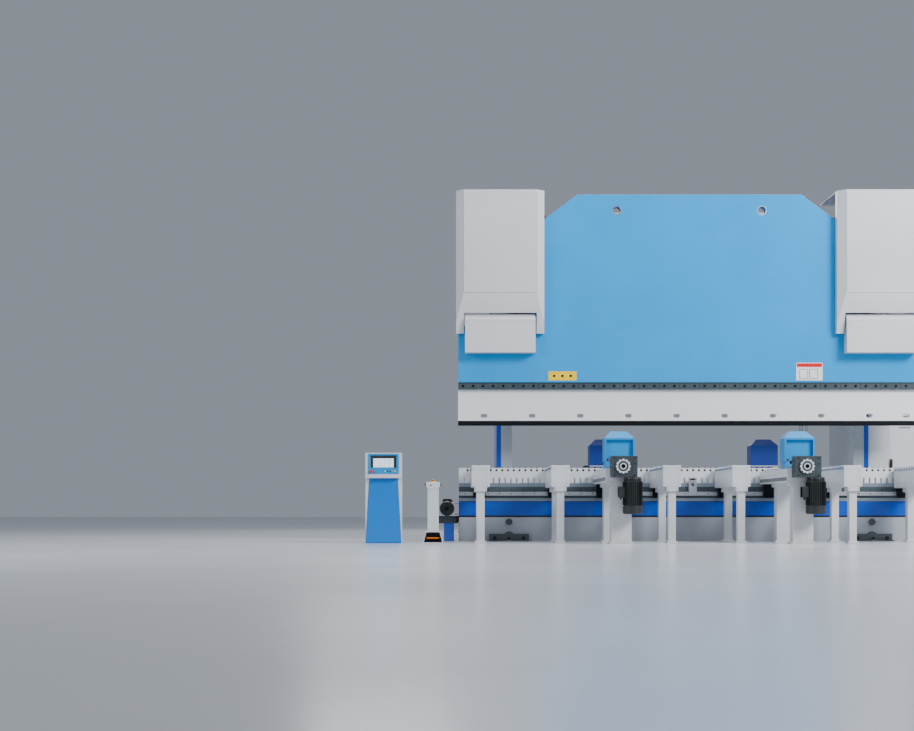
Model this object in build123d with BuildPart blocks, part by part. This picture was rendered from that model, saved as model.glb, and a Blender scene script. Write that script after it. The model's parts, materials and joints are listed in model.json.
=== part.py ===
"""Hydraulic press brake with CNC front feeders, sheet supports and a back gauge.

Frame: X runs along the bending line, the operator stands at -Y, Z is up.
The origin is on the floor under the middle of the bending line. Millimetres.
"""

import os
from build123d import *

os.makedirs("parts", exist_ok=True)

# ---- driving dimensions ------------------------------------------------------
ram_length = 6020.0
ram_thickness = 120.0
ram_bottom_z = 2060.0
ram_shoulder_z = 2800.0
ram_top_z = 4506.0
ram_flat_top = 2914.0
ram_neck_width = 4160.0
ram_corner_drop = 464.0
ram_lift_hole_r = 61.0
ram_lift_hole_x = 944.0
ram_lift_hole_z = 4299.0

clamp_count = 23
clamp_gap = 4.0
clamp_height = 90.0
clamp_depth = 140.0
clamp_bolt_r = 10.0
clamp_bolt_head_r = 15.0
clamp_bolt_head = 10.0
clamp_bolt_depth = 50.0

punch_height = 406.0
punch_thickness = 60.0
punch_slot_count = 9
punch_slot_pitch = 628.0
punch_first_slot = 337.0
punch_last_slot = 180.0
punch_slot_length = 90.0
punch_slot_height = 52.0
punch_slot_rise = 67.0
nose_height = 62.0
nose_tip = 12.0

bed_length = 6000.0
bed_core_thickness = 180.0
bed_cladding = 40.0
bed_top_z = 675.0
apron_top_z = 308.0
face_plate_height = 186.0
cladding_gap = 17.0
bed_flange_depth = 32.0
bed_ledge_bottom = 513.0
port_r = 43.0
port_rim = 9.0
port_lip = 8.0
port_x = 2350.0
port_z = 247.0

wedge_height = 27.0
wedge_width = 236.0
wedge_end_room = 100.0
wedge_side_gap = 2.0
screw_end_gap = 4.0
screw_reach = 280.0
screw_bore_room = 80.0
table_height = 49.0
table_width = 300.0
die_height = 198.0
die_bar_thickness = 60.0
die_opening = 120.0
die_pitch = 75.0
die_hole_r = 15.0
die_hole_drop = 32.0
die_slot_width = 20.0
die_slot_height = 68.0

frame_x = 2465.0
frame_plate = 60.0
frame_rear_y = 1700.0
frame_head_y = 300.0
frame_top_z = 4150.0
frame_rear_drop = 550.0
frame_rear_slope = 450.0
jaw_rise = 120.0
jaw_step = 77.0
throat_y = 497.0
throat_top_z = 2300.0
head_bottom_z = 2560.0
jaw_top_z = 700.0
column_width = 146.0
column_wall = 16.0
column_top_z = 3950.0

cylinder_width = 430.0
cylinder_bottom_z = 3190.0
cylinder_top_z = 4110.0
bore_r = 160.0
bore_bottom_z = 3270.0
bore_top_z = 4010.0
rod_r = 140.0
piston_length = 110.0
piston_bottom_z = 3885.0
rod_pad_height = 60.0
rod_pad_r = 160.0
valve_height = 300.0
valve_width = 320.0
guide_pad_width = 150.0
guide_rod_gap = 20.0
guide_bottom_z = 2620.0
guide_top_z = 3100.0

hood_inner_x = 1894.0
hood_end_gap = 20.0
hood_front_y = -240.0
hood_rear_y = 700.0
hood_top_z = 4532.0
hood_bend_z = 3202.0
hood_bottom_z = 2687.0
hood_lean = 110.0
hood_corner_x = 100.0
hood_corner_y = 80.0
hood_wall = 6.0
hood_outer_x = ram_length / 2 + hood_end_gap + hood_wall
hood_width = hood_outer_x - hood_inner_x
hood_x = (hood_outer_x + hood_inner_x) / 2
hood_ram_gap = 15.0
notch_top_z = 2949.0
notch_side = 16.0

cover_bottom_z = 2435.0
cover_top_z = 2940.0
cover_facet = 84.0
cover_lean = 65.0
cover_front_y = -205.0
cover_rod_gap = 5.0

arm_top_z = 943.0
arm_height = 259.0
arm_width = 220.0
arm_front_y = -1306.0
arm_rear_y = -160.0
arm_wall = 10.0
arm_lines = (2736.0, 1772.0, 420.0)
arm_post = 92.0
arm_post_rear_y = -516.0
arm_foot = 136.0
arm_cap_width = 145.0
arm_cap_height = 56.0
ball_r = 13.0
ball_cap_angle = 45.0
ball_cup_r = 17.0
ball_cup_height = 2.2
ball_pitch = 90.0
ball_rows = 12
ball_inset = 24.0

drive_line_x = 1077.0
drive_arm_width = 375.0
drive_arm_height = 161.0
drive_arm_top_z = 894.0
drive_arm_near_y = 190.0
drive_arm_far_y = 1667.0
drive_post_width = 244.0
drive_post_depth = 150.0
drive_post_inner_y = 693.0
drive_foot_width = 290.0
drive_foot_depth = 200.0
foot_height = 20.0
drive_cap_width = 304.0
drive_cap_height = 46.0
rail_offset = 130.0
rail_width = 28.0
rail_height = 22.0
screw_r = 16.0
screw_rise = 21.0
screw_journal_r = 23.0
bearing_block = 40.0
bearing_wall = 20.0
screw_overlap = 20.0
feeder_width = 360.0
feeder_depth = 250.0
feeder_top_z = 1348.0
feeder_hood_bottom_z = 985.0
feeder_shoulder = 85.0
feeder_facet = 90.0
feeder_wall = 8.0
feeder_rim = 22.0
feeder_recess = 40.0
nut_wall = 14.0
shoe_wall = 22.0
shoe_gap = 2.0
feeder_rest_y = -1376.0
gauge_rest_y = 525.0

gearbox_left = 135.0
gearbox_right = 170.0
gearbox_bottom_z = 787.0
gearbox_top_z = 1036.0
gearbox_depth = 200.0
gearbox_flange_r = 92.0
motor_offset = 118.0
motor_r = 118.0
motor_bottom_z = 354.0
motor_gap = 8.0
motor_box = 52.0
motor_box_z = (545.0, 680.0)
gearbox_flange = 18.0
journal_setback = 12.0

rail_bar_bottom_z = 588.0
rail_bar_top_z = 637.0
rail_bar_depth = 40.0
slide_block_depth = 42.0
slide_block_drop = 28.0
slide_block_inset = 60.0
drive_block_inset = 80.0
locator_x = (-30.0, 74.0)
locator_thickness = 14.0
locator_drop = 129.0
locator_hole_drop = 219.0
locator_hole_r = 20.0

anchor_width = 515.0
anchor_height = 95.0
anchor_hump_r = 75.0
anchor_eye_r = 26.0
anchor_eye_x = 188.0
anchor_eye_z = 40.0
anchor_hump_drop = 45.0
anchor_foot = 12.0
anchor_thickness = 30.0
anchor_flange = 120.0
anchor_hole_r = 16.5
anchor_hole_out = 75.0
anchor_rear_shift = 200.0
bed_rib_width = 100.0

tank_length = 2800.0
tank_depth = 700.0
tank_bottom_z = 3420.0
tank_top_z = 4400.0
beam_setback = 40.0
beam_thickness = 60.0
beam_height = 700.0
beam_shelf = 760.0
pump_motor_r = 180.0
pump_motor_length = 480.0
pump_neck_r = 126.0
pump_neck_length = 60.0
pump_box_width = 180.0
pump_box_start = 180.0
pump_box_length = 160.0
pump_box_top = 250.0
pipe_r = 25.0
pipe_bend_r = 120.0
pipe_spacing = 110.0
pipe_drop = 40.0
pipe_port_pitch = 120.0
return_pipe_x = 1690.0
return_pipe_y = 900.0
return_pipe_pitch = 72.0
return_pipe_r = 25.0
drain_pipe_r = 15.0

end_motor_out = 153.0
end_motor_x = -bed_length / 2 - end_motor_out
end_motor_z = 420.0
end_motor_r = 95.0
end_motor_length = 370.0
end_box_width = 110.0
end_box_y = (-280.0, -150.0)
end_box_top = 126.0
end_block_front_y = -230.0
end_block_rear_y = 60.0
riser_length = 55.0
riser_width = 80.0
end_post_width = 130.0
end_post_shift = 25.0
end_block_width = 228.0
end_block_bottom_z = 231.0
crowning_screw_r = 8.0

cabinet_width = 672.0
cabinet_depth = 600.0
cabinet_set_back = 25.0
cabinet_bottom_z = 100.0
cabinet_top_z = 2000.0
cabinet_wall = 20.0
cabinet_fixed_front = 270.0
door_thickness = 24.0
door_gap = 2.0
front_rail_depth = 20.0
plinth_inset = 40.0
plinth_setback = 60.0
lock_inset = 40.0
lock_z = 1046.0
handle_width = 28.0
handle_thickness = 18.0
handle_gap = 8.0
handle_below = 110.0
handle_above = 20.0
hinge_r = 6.0
hinge_pin_r = 3.0
hinge_stand_off = 7.0
hinge_half = 20.0
hinge_leaf = 25.0
hinge_strap = 60.0
hinge_heights = (400.0, 1050.0, 1700.0)

pedestal_x = -3915.0
pedestal_width = 439.0
pedestal_top_z = 1095.0
pedestal_head = 310.0
pedestal_depth = 250.0
pedestal_front_y = -1306.0
pedestal_waist = 339.0
recess_width = 316.0
recess_height = 150.0
recess_top_drop = 32.0
recess_depth = 20.0
stop_x = 145.0
stop_rise = 84.0
head_setback = 40.0
body_setback = 12.0
wing_setback = 20.0
wing_width = 18.0
skirt_height = 30.0
screen_width = 250.0
screen_height = 110.0
screen_drop = 15.0
screen_thickness = 8.0

stand_x = -3315.0
stand_top_z = 740.0
stand_column_width = 136.0
stand_head_width = 174.0
stand_head_height = 60.0
stand_base_width = 243.0
stand_base_height = 143.0
stand_base_depth = 300.0
stand_base_top_width = 176.0
stand_base_skirt = 15.0
stand_base_wall = 10.0
stand_base_overhang = 60.0
stand_depth = 110.0
stand_setback = 30.0
pedal_width = 150.0
pedal_setback = 20.0
pedal_toe_z = 58.0
pedal_pivot_setback = 60.0
pedal_pivot_z = 45.0
pedal_shaft_r = 12.0
pedal_side_gap = 0.3
mushroom_r = 20.0
mushroom_height = 22.0
mushroom_stand_off = 10.0
button_stem_r = 8.0
stem_bore_depth = 40.0
stem_length = 25.0
palm_r = 18.0
palm_drop = 30.0
palm_stem = 20.0
palm_stand_off = 6.0
palm_thickness = 8.0

slip = 0.3
running = 0.05
beam_half = ram_thickness / 2
clamp_pitch = ram_length / clamp_count
punch_top_z = ram_bottom_z - clamp_height
nose_top_z = punch_top_z - punch_height
table_bottom_z = bed_top_z + wedge_height
table_top_z = table_bottom_z + table_height
die_top_z = table_top_z + die_height
bed_front_y = -(bed_core_thickness / 2 + bed_cladding)
screw_z = drive_arm_top_z + screw_rise
sides = (-1, 1)


# ---- shape helpers, each adding to or cutting from the open part --------------
def block(x, y, z, mode=Mode.ADD):
    """Box between two X values, two Y values and two Z values."""
    with BuildSketch(Plane.XY.offset(min(z))) as profile:
        with Locations(((x[0] + x[1]) / 2, (y[0] + y[1]) / 2)):
            Rectangle(abs(x[1] - x[0]), abs(y[1] - y[0]))
    extrude(profile.sketch, amount=abs(z[1] - z[0]), mode=mode)


def around(centre, size):
    """The two ends of a length that is centred on a value."""
    return (centre - size / 2, centre + size / 2)


def prism_x(points, x, mode=Mode.ADD):
    """Outline given in Y and Z, drawn out between two X values."""
    with BuildSketch(Plane.YZ.offset(min(x))) as profile:
        with BuildLine():
            Polyline(*points, close=True)
        make_face()
    extrude(profile.sketch, amount=abs(x[1] - x[0]), mode=mode)


def prism_y(points, y, mode=Mode.ADD):
    """Outline given in X and Z, drawn out between two Y values."""
    with BuildSketch(Plane.XZ.offset(-max(y))) as profile:
        with BuildLine():
            Polyline(*points, close=True)
        make_face()
    extrude(profile.sketch, amount=abs(y[1] - y[0]), mode=mode)


def disc_x(centre, radius, x, mode=Mode.ADD):
    """Cylinder along X about a (Y, Z) centre."""
    with BuildSketch(Plane.YZ.offset(min(x))) as profile:
        with Locations(centre):
            Circle(radius)
    extrude(profile.sketch, amount=abs(x[1] - x[0]), mode=mode)


def disc_y(centres, radius, y, mode=Mode.ADD):
    """Cylinders along Y about (X, Z) centres."""
    with BuildSketch(Plane.XZ.offset(-max(y))) as profile:
        with Locations(*centres):
            Circle(radius)
    extrude(profile.sketch, amount=abs(y[1] - y[0]), mode=mode)


def disc_z(centres, radius, z, mode=Mode.ADD):
    """Cylinders along Z about (X, Y) centres."""
    with BuildSketch(Plane.XY.offset(min(z))) as profile:
        with Locations(*centres):
            Circle(radius)
    extrude(profile.sketch, amount=abs(z[1] - z[0]), mode=mode)


def keep(piece, name):
    """Label a finished piece and write it as its own node."""
    piece.part.label = name
    export_step(piece.part, f"parts/{name}.step")


def side_name(side):
    return "left" if side < 0 else "right"


# ---- C-frames, columns and the rear tie ---------------------------------------
def make_side_frames():
    near, far = frame_x - frame_plate / 2, frame_x + frame_plate / 2
    jaw_y = table_width / 2
    outline = [
        (jaw_y, 0),
        (frame_rear_y, 0),
        (frame_rear_y, frame_top_z - frame_rear_drop),
        (frame_rear_y - frame_rear_slope, frame_top_z),
        (frame_head_y, frame_top_z),
        (frame_head_y, head_bottom_z),
        (throat_y, throat_top_z),
        (throat_y, jaw_top_z + jaw_rise),
        (throat_y - jaw_step, jaw_top_z),
        (jaw_y, jaw_top_z),
    ]
    with BuildPart() as side_frames:
        for side in sides:
            prism_x(outline, (side * near, side * far))
    keep(side_frames, "side_frames")


def make_frame_columns():
    outer = frame_x - frame_plate / 2
    inner = outer - column_width
    with BuildPart() as frame_columns:
        for side in sides:
            block((side * inner, side * outer), (throat_y, frame_rear_y), (0, column_top_z))
            block(
                (side * (inner + column_wall), side * (outer - column_wall)),
                (throat_y + column_wall, frame_rear_y - column_wall),
                (column_wall, column_top_z),
                Mode.SUBTRACT,
            )
    keep(frame_columns, "frame_columns")


def make_top_cross_beam():
    reach = frame_x - frame_plate / 2 - column_width
    front = throat_y + beam_setback
    with BuildPart() as top_cross_beam:
        block((-reach, reach), (front, front + beam_thickness), (tank_bottom_z - beam_height, tank_bottom_z))
        block((-reach, reach), (front, front + beam_shelf), (tank_bottom_z - beam_thickness, tank_bottom_z))
    keep(top_cross_beam, "top_cross_beam")


# ---- bed, crowning wedge and table ---------------------------------------------
def make_bed_beam():
    half = bed_length / 2
    core = bed_core_thickness / 2
    rail_inner = wedge_width / 2 + wedge_side_gap
    with BuildPart() as bed_beam:
        block((-half, half), (-core, core), (0, bed_top_z - bed_flange_depth))
        block((-half, half), around(0, table_width), (bed_top_z - bed_flange_depth, bed_top_z))
        for side in sides:
            block((-half, half), (side * rail_inner, side * table_width / 2), (bed_top_z, table_bottom_z))
            block(
                (-half, half),
                (side * core, side * -bed_front_y),
                (bed_ledge_bottom, bed_top_z - bed_flange_depth),
            )
            block(
                around(side * frame_x, bed_rib_width),
                (core, table_width / 2),
                (0, bed_top_z - bed_flange_depth),
            )
        block(
            (-half, riser_length + slip - half),
            around(0, riser_width + 2 * slip),
            (end_block_bottom_z - slip, bed_top_z),
            Mode.SUBTRACT,
        )
    keep(bed_beam, "bed_beam")


def make_bed_cladding():
    half = bed_length / 2
    core = bed_core_thickness / 2
    face_bottom = apron_top_z + cladding_gap
    with BuildPart() as bed_apron:
        block((-half, half), (bed_front_y, -core), (0, apron_top_z))
        port_length = (bed_front_y - port_lip, -core)
        disc_y([(side * port_x, port_z) for side in sides], port_r + port_rim, port_length)
        disc_y([(side * port_x, port_z) for side in sides], port_r, port_length, Mode.SUBTRACT)
    keep(bed_apron, "bed_apron")
    with BuildPart() as bed_face_plate:
        block((-half, half), (bed_front_y, -core), (face_bottom, face_bottom + face_plate_height))
    keep(bed_face_plate, "bed_face_plate")


def make_table_and_wedge():
    half = bed_length / 2
    wedge_half = half - wedge_end_room
    with BuildPart() as die_table:
        block((-half, half), around(0, table_width), (table_bottom_z, table_top_z))
    keep(die_table, "die_table")
    with BuildPart() as crowning_wedge:
        block((-wedge_half, wedge_half), around(0, wedge_width), (bed_top_z + slip, table_bottom_z - slip))
        disc_x(
            (0, bed_top_z + wedge_height / 2),
            crowning_screw_r + running,
            (-wedge_half, screw_reach + screw_bore_room - half),
            Mode.SUBTRACT,
        )
    keep(crowning_wedge, "crowning_wedge")
    with BuildPart() as crowning_screw:
        screw_length = (screw_end_gap - half, screw_reach - half)
        disc_x((0, bed_top_z + wedge_height / 2), crowning_screw_r, screw_length)
    keep(crowning_screw, "crowning_screw")


def make_die_bar(side, name):
    """One shoulder of the adjustable die, with a comb foot and a row of pin holes."""
    inner = die_opening / 2
    outer = inner + die_bar_thickness
    bottom = table_top_z + slip
    count = int(bed_length / die_pitch) - 1
    with BuildPart() as die_bar:
        block((-bed_length / 2, bed_length / 2), (side * inner, side * outer), (bottom, die_top_z))
        slot_y = side * (inner + outer) / 2
        with BuildSketch(Plane.XY.offset(bottom)):
            with Locations((0, slot_y)):
                with GridLocations(die_pitch, 1, count, 1):
                    Rectangle(die_slot_width, die_bar_thickness)
        extrude(amount=die_slot_height, mode=Mode.SUBTRACT)
        with BuildSketch(Plane.XZ.offset(-max(side * inner, side * outer))):
            with Locations((0, die_top_z - die_hole_drop)):
                with GridLocations(die_pitch, 1, count - 1, 1):
                    Circle(die_hole_r)
        extrude(amount=die_bar_thickness, mode=Mode.SUBTRACT)
    keep(die_bar, name)


# ---- ram, clamps and punch ------------------------------------------------------
def make_ram_plate():
    half, neck, flat = ram_length / 2, ram_neck_width / 2, ram_flat_top / 2
    outline = [
        (-half, ram_bottom_z),
        (half, ram_bottom_z),
        (half, ram_shoulder_z),
        (neck, ram_shoulder_z),
        (neck, ram_top_z - ram_corner_drop),
        (flat, ram_top_z),
        (-flat, ram_top_z),
        (-neck, ram_top_z - ram_corner_drop),
        (-neck, ram_shoulder_z),
        (-half, ram_shoulder_z),
    ]
    with BuildPart() as ram_plate:
        prism_y(outline, (-beam_half, beam_half))
        disc_y(
            [(side * ram_lift_hole_x, ram_lift_hole_z) for side in sides],
            ram_lift_hole_r,
            (-beam_half, beam_half),
            Mode.SUBTRACT,
        )
    keep(ram_plate, "ram_plate")


def make_tool_clamps():
    centres = [(i - (clamp_count - 1) / 2) * clamp_pitch for i in range(clamp_count)]
    bolts = [x + side * clamp_pitch / 4 for x in centres for side in sides]
    bolt_z = ram_bottom_z - clamp_height / 2
    front = -clamp_depth / 2
    with BuildPart() as tool_clamps:
        for x in centres:
            block(around(x, clamp_pitch - clamp_gap), around(0, clamp_depth), (punch_top_z, ram_bottom_z))
        disc_y([(x, bolt_z) for x in bolts], clamp_bolt_r, (front, front + clamp_bolt_depth), Mode.SUBTRACT)
    keep(tool_clamps, "tool_clamps")
    with BuildPart() as clamp_bolts:
        disc_y([(x, bolt_z) for x in bolts], clamp_bolt_r, (front, front + clamp_bolt_depth))
        disc_y([(x, bolt_z) for x in bolts], clamp_bolt_head_r, (front - clamp_bolt_head, front))
    keep(clamp_bolts, "clamp_bolts")


def make_punch():
    half = ram_length / 2
    slots = [punch_first_slot - half + i * punch_slot_pitch for i in range(punch_slot_count)]
    slots.append(half - punch_last_slot)
    with BuildPart() as punch:
        block((-half, half), around(0, punch_thickness), (nose_top_z, punch_top_z))
        with BuildSketch(Plane.XZ.offset(-punch_thickness / 2)):
            with Locations(*[(x, nose_top_z + punch_slot_rise) for x in slots]):
                SlotOverall(punch_slot_length, punch_slot_height)
        extrude(amount=punch_thickness, mode=Mode.SUBTRACT)
    keep(punch, "punch")
    nose = [
        (-punch_thickness / 2, nose_top_z),
        (-nose_tip / 2, nose_top_z - nose_height),
        (nose_tip / 2, nose_top_z - nose_height),
        (punch_thickness / 2, nose_top_z),
    ]
    with BuildPart() as punch_nose:
        prism_x(nose, (-half, half))
    keep(punch_nose, "punch_nose")


def make_ram_covers():
    """Sheet boxes on the ram shoulders, which travel with the ram."""
    side_room = hood_corner_x + notch_side
    outer_half = hood_width / 2 - side_room

    def outline(wall, back):
        front = cover_front_y + wall
        return [
            (back, cover_bottom_z + wall),
            (front, cover_bottom_z + wall),
            (front, cover_top_z - cover_facet),
            (front + cover_lean, cover_top_z - wall),
            (back, cover_top_z - wall),
        ]

    with BuildPart() as ram_covers:
        for side in sides:
            prism_x(outline(0, -beam_half), around(side * hood_x, 2 * outer_half))
            prism_x(
                outline(hood_wall, -beam_half),
                around(side * hood_x, 2 * (outer_half - hood_wall)),
                Mode.SUBTRACT,
            )
            disc_z(
                [(side * frame_x, 0)],
                rod_r + cover_rod_gap,
                (cover_top_z - cover_facet, cover_top_z),
                Mode.SUBTRACT,
            )
    keep(ram_covers, "ram_covers")


# ---- cylinders, pistons, valves and hydraulics -----------------------------------
def make_cylinders():
    half = cylinder_width / 2
    centres = [(side * frame_x, 0) for side in sides]
    barrel = (cylinder_bottom_z, cylinder_top_z)
    with BuildPart() as cylinders:
        disc_z(centres, half, barrel)
        for x, y in centres:
            block(around(x, cylinder_width), (y, frame_head_y), barrel)
        disc_z(centres, bore_r, (bore_bottom_z, bore_top_z), Mode.SUBTRACT)
        disc_z(centres, rod_r + running, (cylinder_bottom_z, bore_bottom_z), Mode.SUBTRACT)
    keep(cylinders, "cylinders")


def make_pistons():
    centres = [(side * frame_x, 0) for side in sides]
    with BuildPart() as pistons:
        disc_z(centres, rod_pad_r, (ram_shoulder_z, ram_shoulder_z + rod_pad_height))
        disc_z(centres, rod_r, (ram_shoulder_z + rod_pad_height, piston_bottom_z))
        disc_z(centres, bore_r - running, (piston_bottom_z, piston_bottom_z + piston_length))
    keep(pistons, "pistons")


def make_valve_blocks():
    with BuildPart() as valve_blocks:
        for side in sides:
            block(
                around(side * frame_x, valve_width),
                around(0, valve_width),
                (cylinder_top_z, cylinder_top_z + valve_height),
            )
    keep(valve_blocks, "valve_blocks")


def make_oil_tank():
    front = throat_y + beam_setback
    with BuildPart() as oil_tank:
        block(around(0, tank_length), (front, front + tank_depth), (tank_bottom_z, tank_top_z))
    keep(oil_tank, "oil_tank")
    rear = front + tank_depth
    motor_z = (tank_bottom_z + tank_top_z) / 2
    with BuildPart() as pump_motor:
        disc_y([(0, motor_z)], pump_motor_r, (rear + pump_neck_length, rear + pump_motor_length))
        disc_y([(0, motor_z)], pump_neck_r, (rear, rear + pump_neck_length))
        box_y = rear + pump_box_start
        block(around(0, pump_box_width), (box_y, box_y + pump_box_length), (motor_z, motor_z + pump_box_top))
    keep(pump_motor, "pump_motor")


def make_hydraulic_pipes():
    """Two pipes a side, from each valve block to the end of the tank, and the two down to the floor."""
    pipe_z = cylinder_top_z + valve_height - pipe_r - pipe_drop
    pipe_y = throat_y + beam_setback + tank_depth / 4
    with BuildPart() as hydraulic_pipes:
        for side in sides:
            for level in range(2):
                z = pipe_z - level * pipe_spacing
                x = side * (frame_x + (level - 0.5) * pipe_port_pitch)
                y = pipe_y + level * pipe_spacing
                with BuildLine() as path:
                    FilletPolyline(
                        (x, valve_width / 2, z),
                        (x, y, z),
                        (side * tank_length / 2, y, z),
                        radius=pipe_bend_r,
                    )
                with BuildSketch(Plane(origin=(x, valve_width / 2, z), z_dir=(0, 1, 0))):
                    Circle(pipe_r)
                sweep(path=path.wires()[0])
        shelf_bottom = tank_bottom_z - beam_thickness
        for x, radius in ((return_pipe_x, return_pipe_r), (return_pipe_x + return_pipe_pitch, drain_pipe_r)):
            disc_z([(x, return_pipe_y)], radius, (0, shelf_bottom))
    keep(hydraulic_pipes, "hydraulic_pipes")


def make_ram_guides():
    """Brackets on the frame heads, each with a pad that the back of the ram's neck runs along."""
    outer = frame_x + frame_plate / 2
    pad = (ram_neck_width / 2 - guide_pad_width, ram_neck_width / 2)
    arm_y = (rod_pad_r + guide_rod_gap, frame_head_y)
    height = (guide_bottom_z, guide_top_z)
    with BuildPart() as ram_guides:
        for side in sides:
            block((side * pad[0], side * outer), arm_y, height)
            block((side * pad[0], side * pad[1]), (beam_half + slip, arm_y[0]), height)
    keep(ram_guides, "ram_guides")


# ---- cylinder hoods ----------------------------------------------------------------
def hood_solid(side, wall):
    """The hood's outside for wall 0, or the space inside it for its sheet thickness."""
    half = hood_width / 2 - wall
    front, rear = hood_front_y + wall, hood_rear_y
    shoulder = front + hood_corner_y
    plan = [
        (side * hood_x - half, rear),
        (side * hood_x - half, shoulder),
        (side * hood_x - half + hood_corner_x, front),
        (side * hood_x + half - hood_corner_x, front),
        (side * hood_x + half, shoulder),
        (side * hood_x + half, rear),
    ]
    bottom = hood_bottom_z - wall
    profile = [
        (rear, bottom),
        (front + hood_lean, bottom),
        (front, hood_bend_z),
        (front, hood_top_z - wall),
        (rear, hood_top_z - wall),
    ]
    with BuildPart() as shape:
        with BuildSketch(Plane.XY.offset(bottom)):
            with BuildLine():
                Polyline(*plan, close=True)
            make_face()
        extrude(amount=hood_top_z - wall - bottom)
        prism_x(profile, around(side * hood_x, hood_width), Mode.INTERSECT)
    return shape.part


def make_hood(side):
    outside = hood_solid(side, 0)
    inside = hood_solid(side, hood_wall)
    inner_x = side * hood_inner_x
    slot_y = (-beam_half - hood_ram_gap, hood_rear_y)
    notch_half = hood_width / 2 - hood_corner_x
    with BuildPart() as hood:
        add(outside)
        add(inside, mode=Mode.SUBTRACT)
        block(
            (inner_x - side, inner_x + side * (hood_wall + 1)),
            slot_y,
            (hood_bottom_z, hood_top_z - hood_wall),
            Mode.SUBTRACT,
        )
        block(
            around(side * hood_x, 2 * notch_half),
            (hood_front_y, -beam_half - hood_ram_gap),
            (hood_bottom_z, notch_top_z),
            Mode.SUBTRACT,
        )
    keep(hood, f"{side_name(side)}_hood")


# ---- front sheet supports ------------------------------------------------------------
def make_support_arms():
    lines = [side * x for side in sides for x in arm_lines]
    bottom = arm_top_z - arm_height
    post_tops = (foot_height, bottom - arm_cap_height)
    with BuildPart() as support_arms:
        for x in lines:
            block(around(x, arm_width), (arm_front_y, arm_rear_y), (bottom, arm_top_z))
            block(
                around(x, arm_width - 2 * arm_wall),
                (arm_front_y + arm_wall, arm_rear_y),
                (bottom + arm_wall, arm_top_z - arm_wall),
                Mode.SUBTRACT,
            )
            for front in (arm_front_y, arm_post_rear_y):
                middle = front + arm_post / 2
                cap = (bottom - arm_cap_height, bottom)
                block(around(x, arm_cap_width), around(middle, arm_cap_width), cap)
                block(around(x, arm_post), around(middle, arm_post), post_tops)
                block(around(x, arm_foot), around(middle, arm_foot), (0, foot_height))
    keep(support_arms, "support_arms")


def make_ball_units():
    """Ball transfer units in two rows along each arm, standing a little proud of it."""
    lines = [side * x for side in sides for x in arm_lines]
    reach = ball_pitch * (ball_rows - 1)
    middle = (arm_front_y + arm_rear_y) / 2
    seats = [
        (x + side * (arm_width / 2 - ball_inset), middle - reach / 2 + row * ball_pitch)
        for x in lines
        for side in sides
        for row in range(ball_rows)
    ]
    with BuildPart() as ball_units:
        disc_z(seats, ball_cup_r, (arm_top_z, arm_top_z + ball_cup_height))
        with Locations(*[(x, y, arm_top_z + ball_cup_height) for x, y in seats]):
            Sphere(ball_r, arc_size1=ball_cap_angle, align=(Align.CENTER, Align.CENTER, Align.MIN))
    keep(ball_units, "ball_units")


def make_arm_rails():
    half = bed_length / 2
    with BuildPart() as arm_rails:
        block(
            (-half, half),
            (bed_front_y - rail_bar_depth, bed_front_y),
            (rail_bar_bottom_z, rail_bar_top_z),
        )
    keep(arm_rails, "arm_rails")
    near = bed_front_y - rail_bar_depth
    plain_size = (arm_width - slide_block_inset, arm_top_z - arm_height)
    driven_size = (drive_arm_width - drive_block_inset, drive_arm_top_z - drive_arm_height)
    plain = [(side * x, *plain_size) for side in sides for x in arm_lines]
    driven = [(side * drive_line_x, *driven_size) for side in sides]
    with BuildPart() as arm_slide_blocks:
        for x, width, top in plain + driven:
            height = (rail_bar_bottom_z - slide_block_drop, top)
            block(around(x, width), (near - slide_block_depth, near), height)
    keep(arm_slide_blocks, "arm_slide_blocks")


def make_centre_locator():
    near = bed_front_y - rail_bar_depth
    with BuildPart() as centre_locator:
        block(locator_x, (near - locator_thickness, near), (rail_bar_bottom_z, die_top_z - locator_drop))
        hole = (sum(locator_x) / 2, die_top_z - locator_hole_drop)
        disc_y([hole], locator_hole_r, (near - locator_thickness, near), Mode.SUBTRACT)
    keep(centre_locator, "centre_locator")


# ---- screw-driven arms, carriages, gearboxes and motors --------------------------------
def make_drive_arms(facing, name):
    """Two arms; facing is -1 in front of the bed and +1 behind it."""
    bottom = drive_arm_top_z - drive_arm_height
    cap_bottom = bottom - drive_cap_height
    near, far = facing * drive_arm_near_y, facing * drive_arm_far_y
    with BuildPart() as drive_arms:
        for side in sides:
            x = side * drive_line_x
            block(around(x, drive_arm_width), (near, far), (bottom, drive_arm_top_z))
            block(
                around(x, drive_arm_width - 2 * arm_wall),
                (near, far - facing * arm_wall),
                (bottom + arm_wall, drive_arm_top_z - arm_wall),
                Mode.SUBTRACT,
            )
            for outer in (drive_arm_far_y, drive_post_inner_y + drive_post_depth):
                post = (facing * (outer - drive_post_depth), facing * outer)
                middle = sum(post) / 2
                block(around(x, drive_cap_width), around(middle, drive_post_depth), (cap_bottom, bottom))
                block(around(x, drive_post_width), post, (foot_height, cap_bottom))
                block(around(x, drive_foot_width), around(middle, drive_foot_depth), (0, foot_height))
            for rail in sides:
                block(
                    around(x + rail * rail_offset, rail_width),
                    (near, far),
                    (drive_arm_top_z, drive_arm_top_z + rail_height),
                )
            block(
                around(x, 2 * (screw_r + bearing_wall)),
                (near, near + facing * bearing_block),
                (drive_arm_top_z, screw_z + screw_r + bearing_wall),
            )
            disc_y([(x, screw_z)], screw_r + running, (near, near + facing * bearing_block), Mode.SUBTRACT)
    keep(drive_arms, name)


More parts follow.
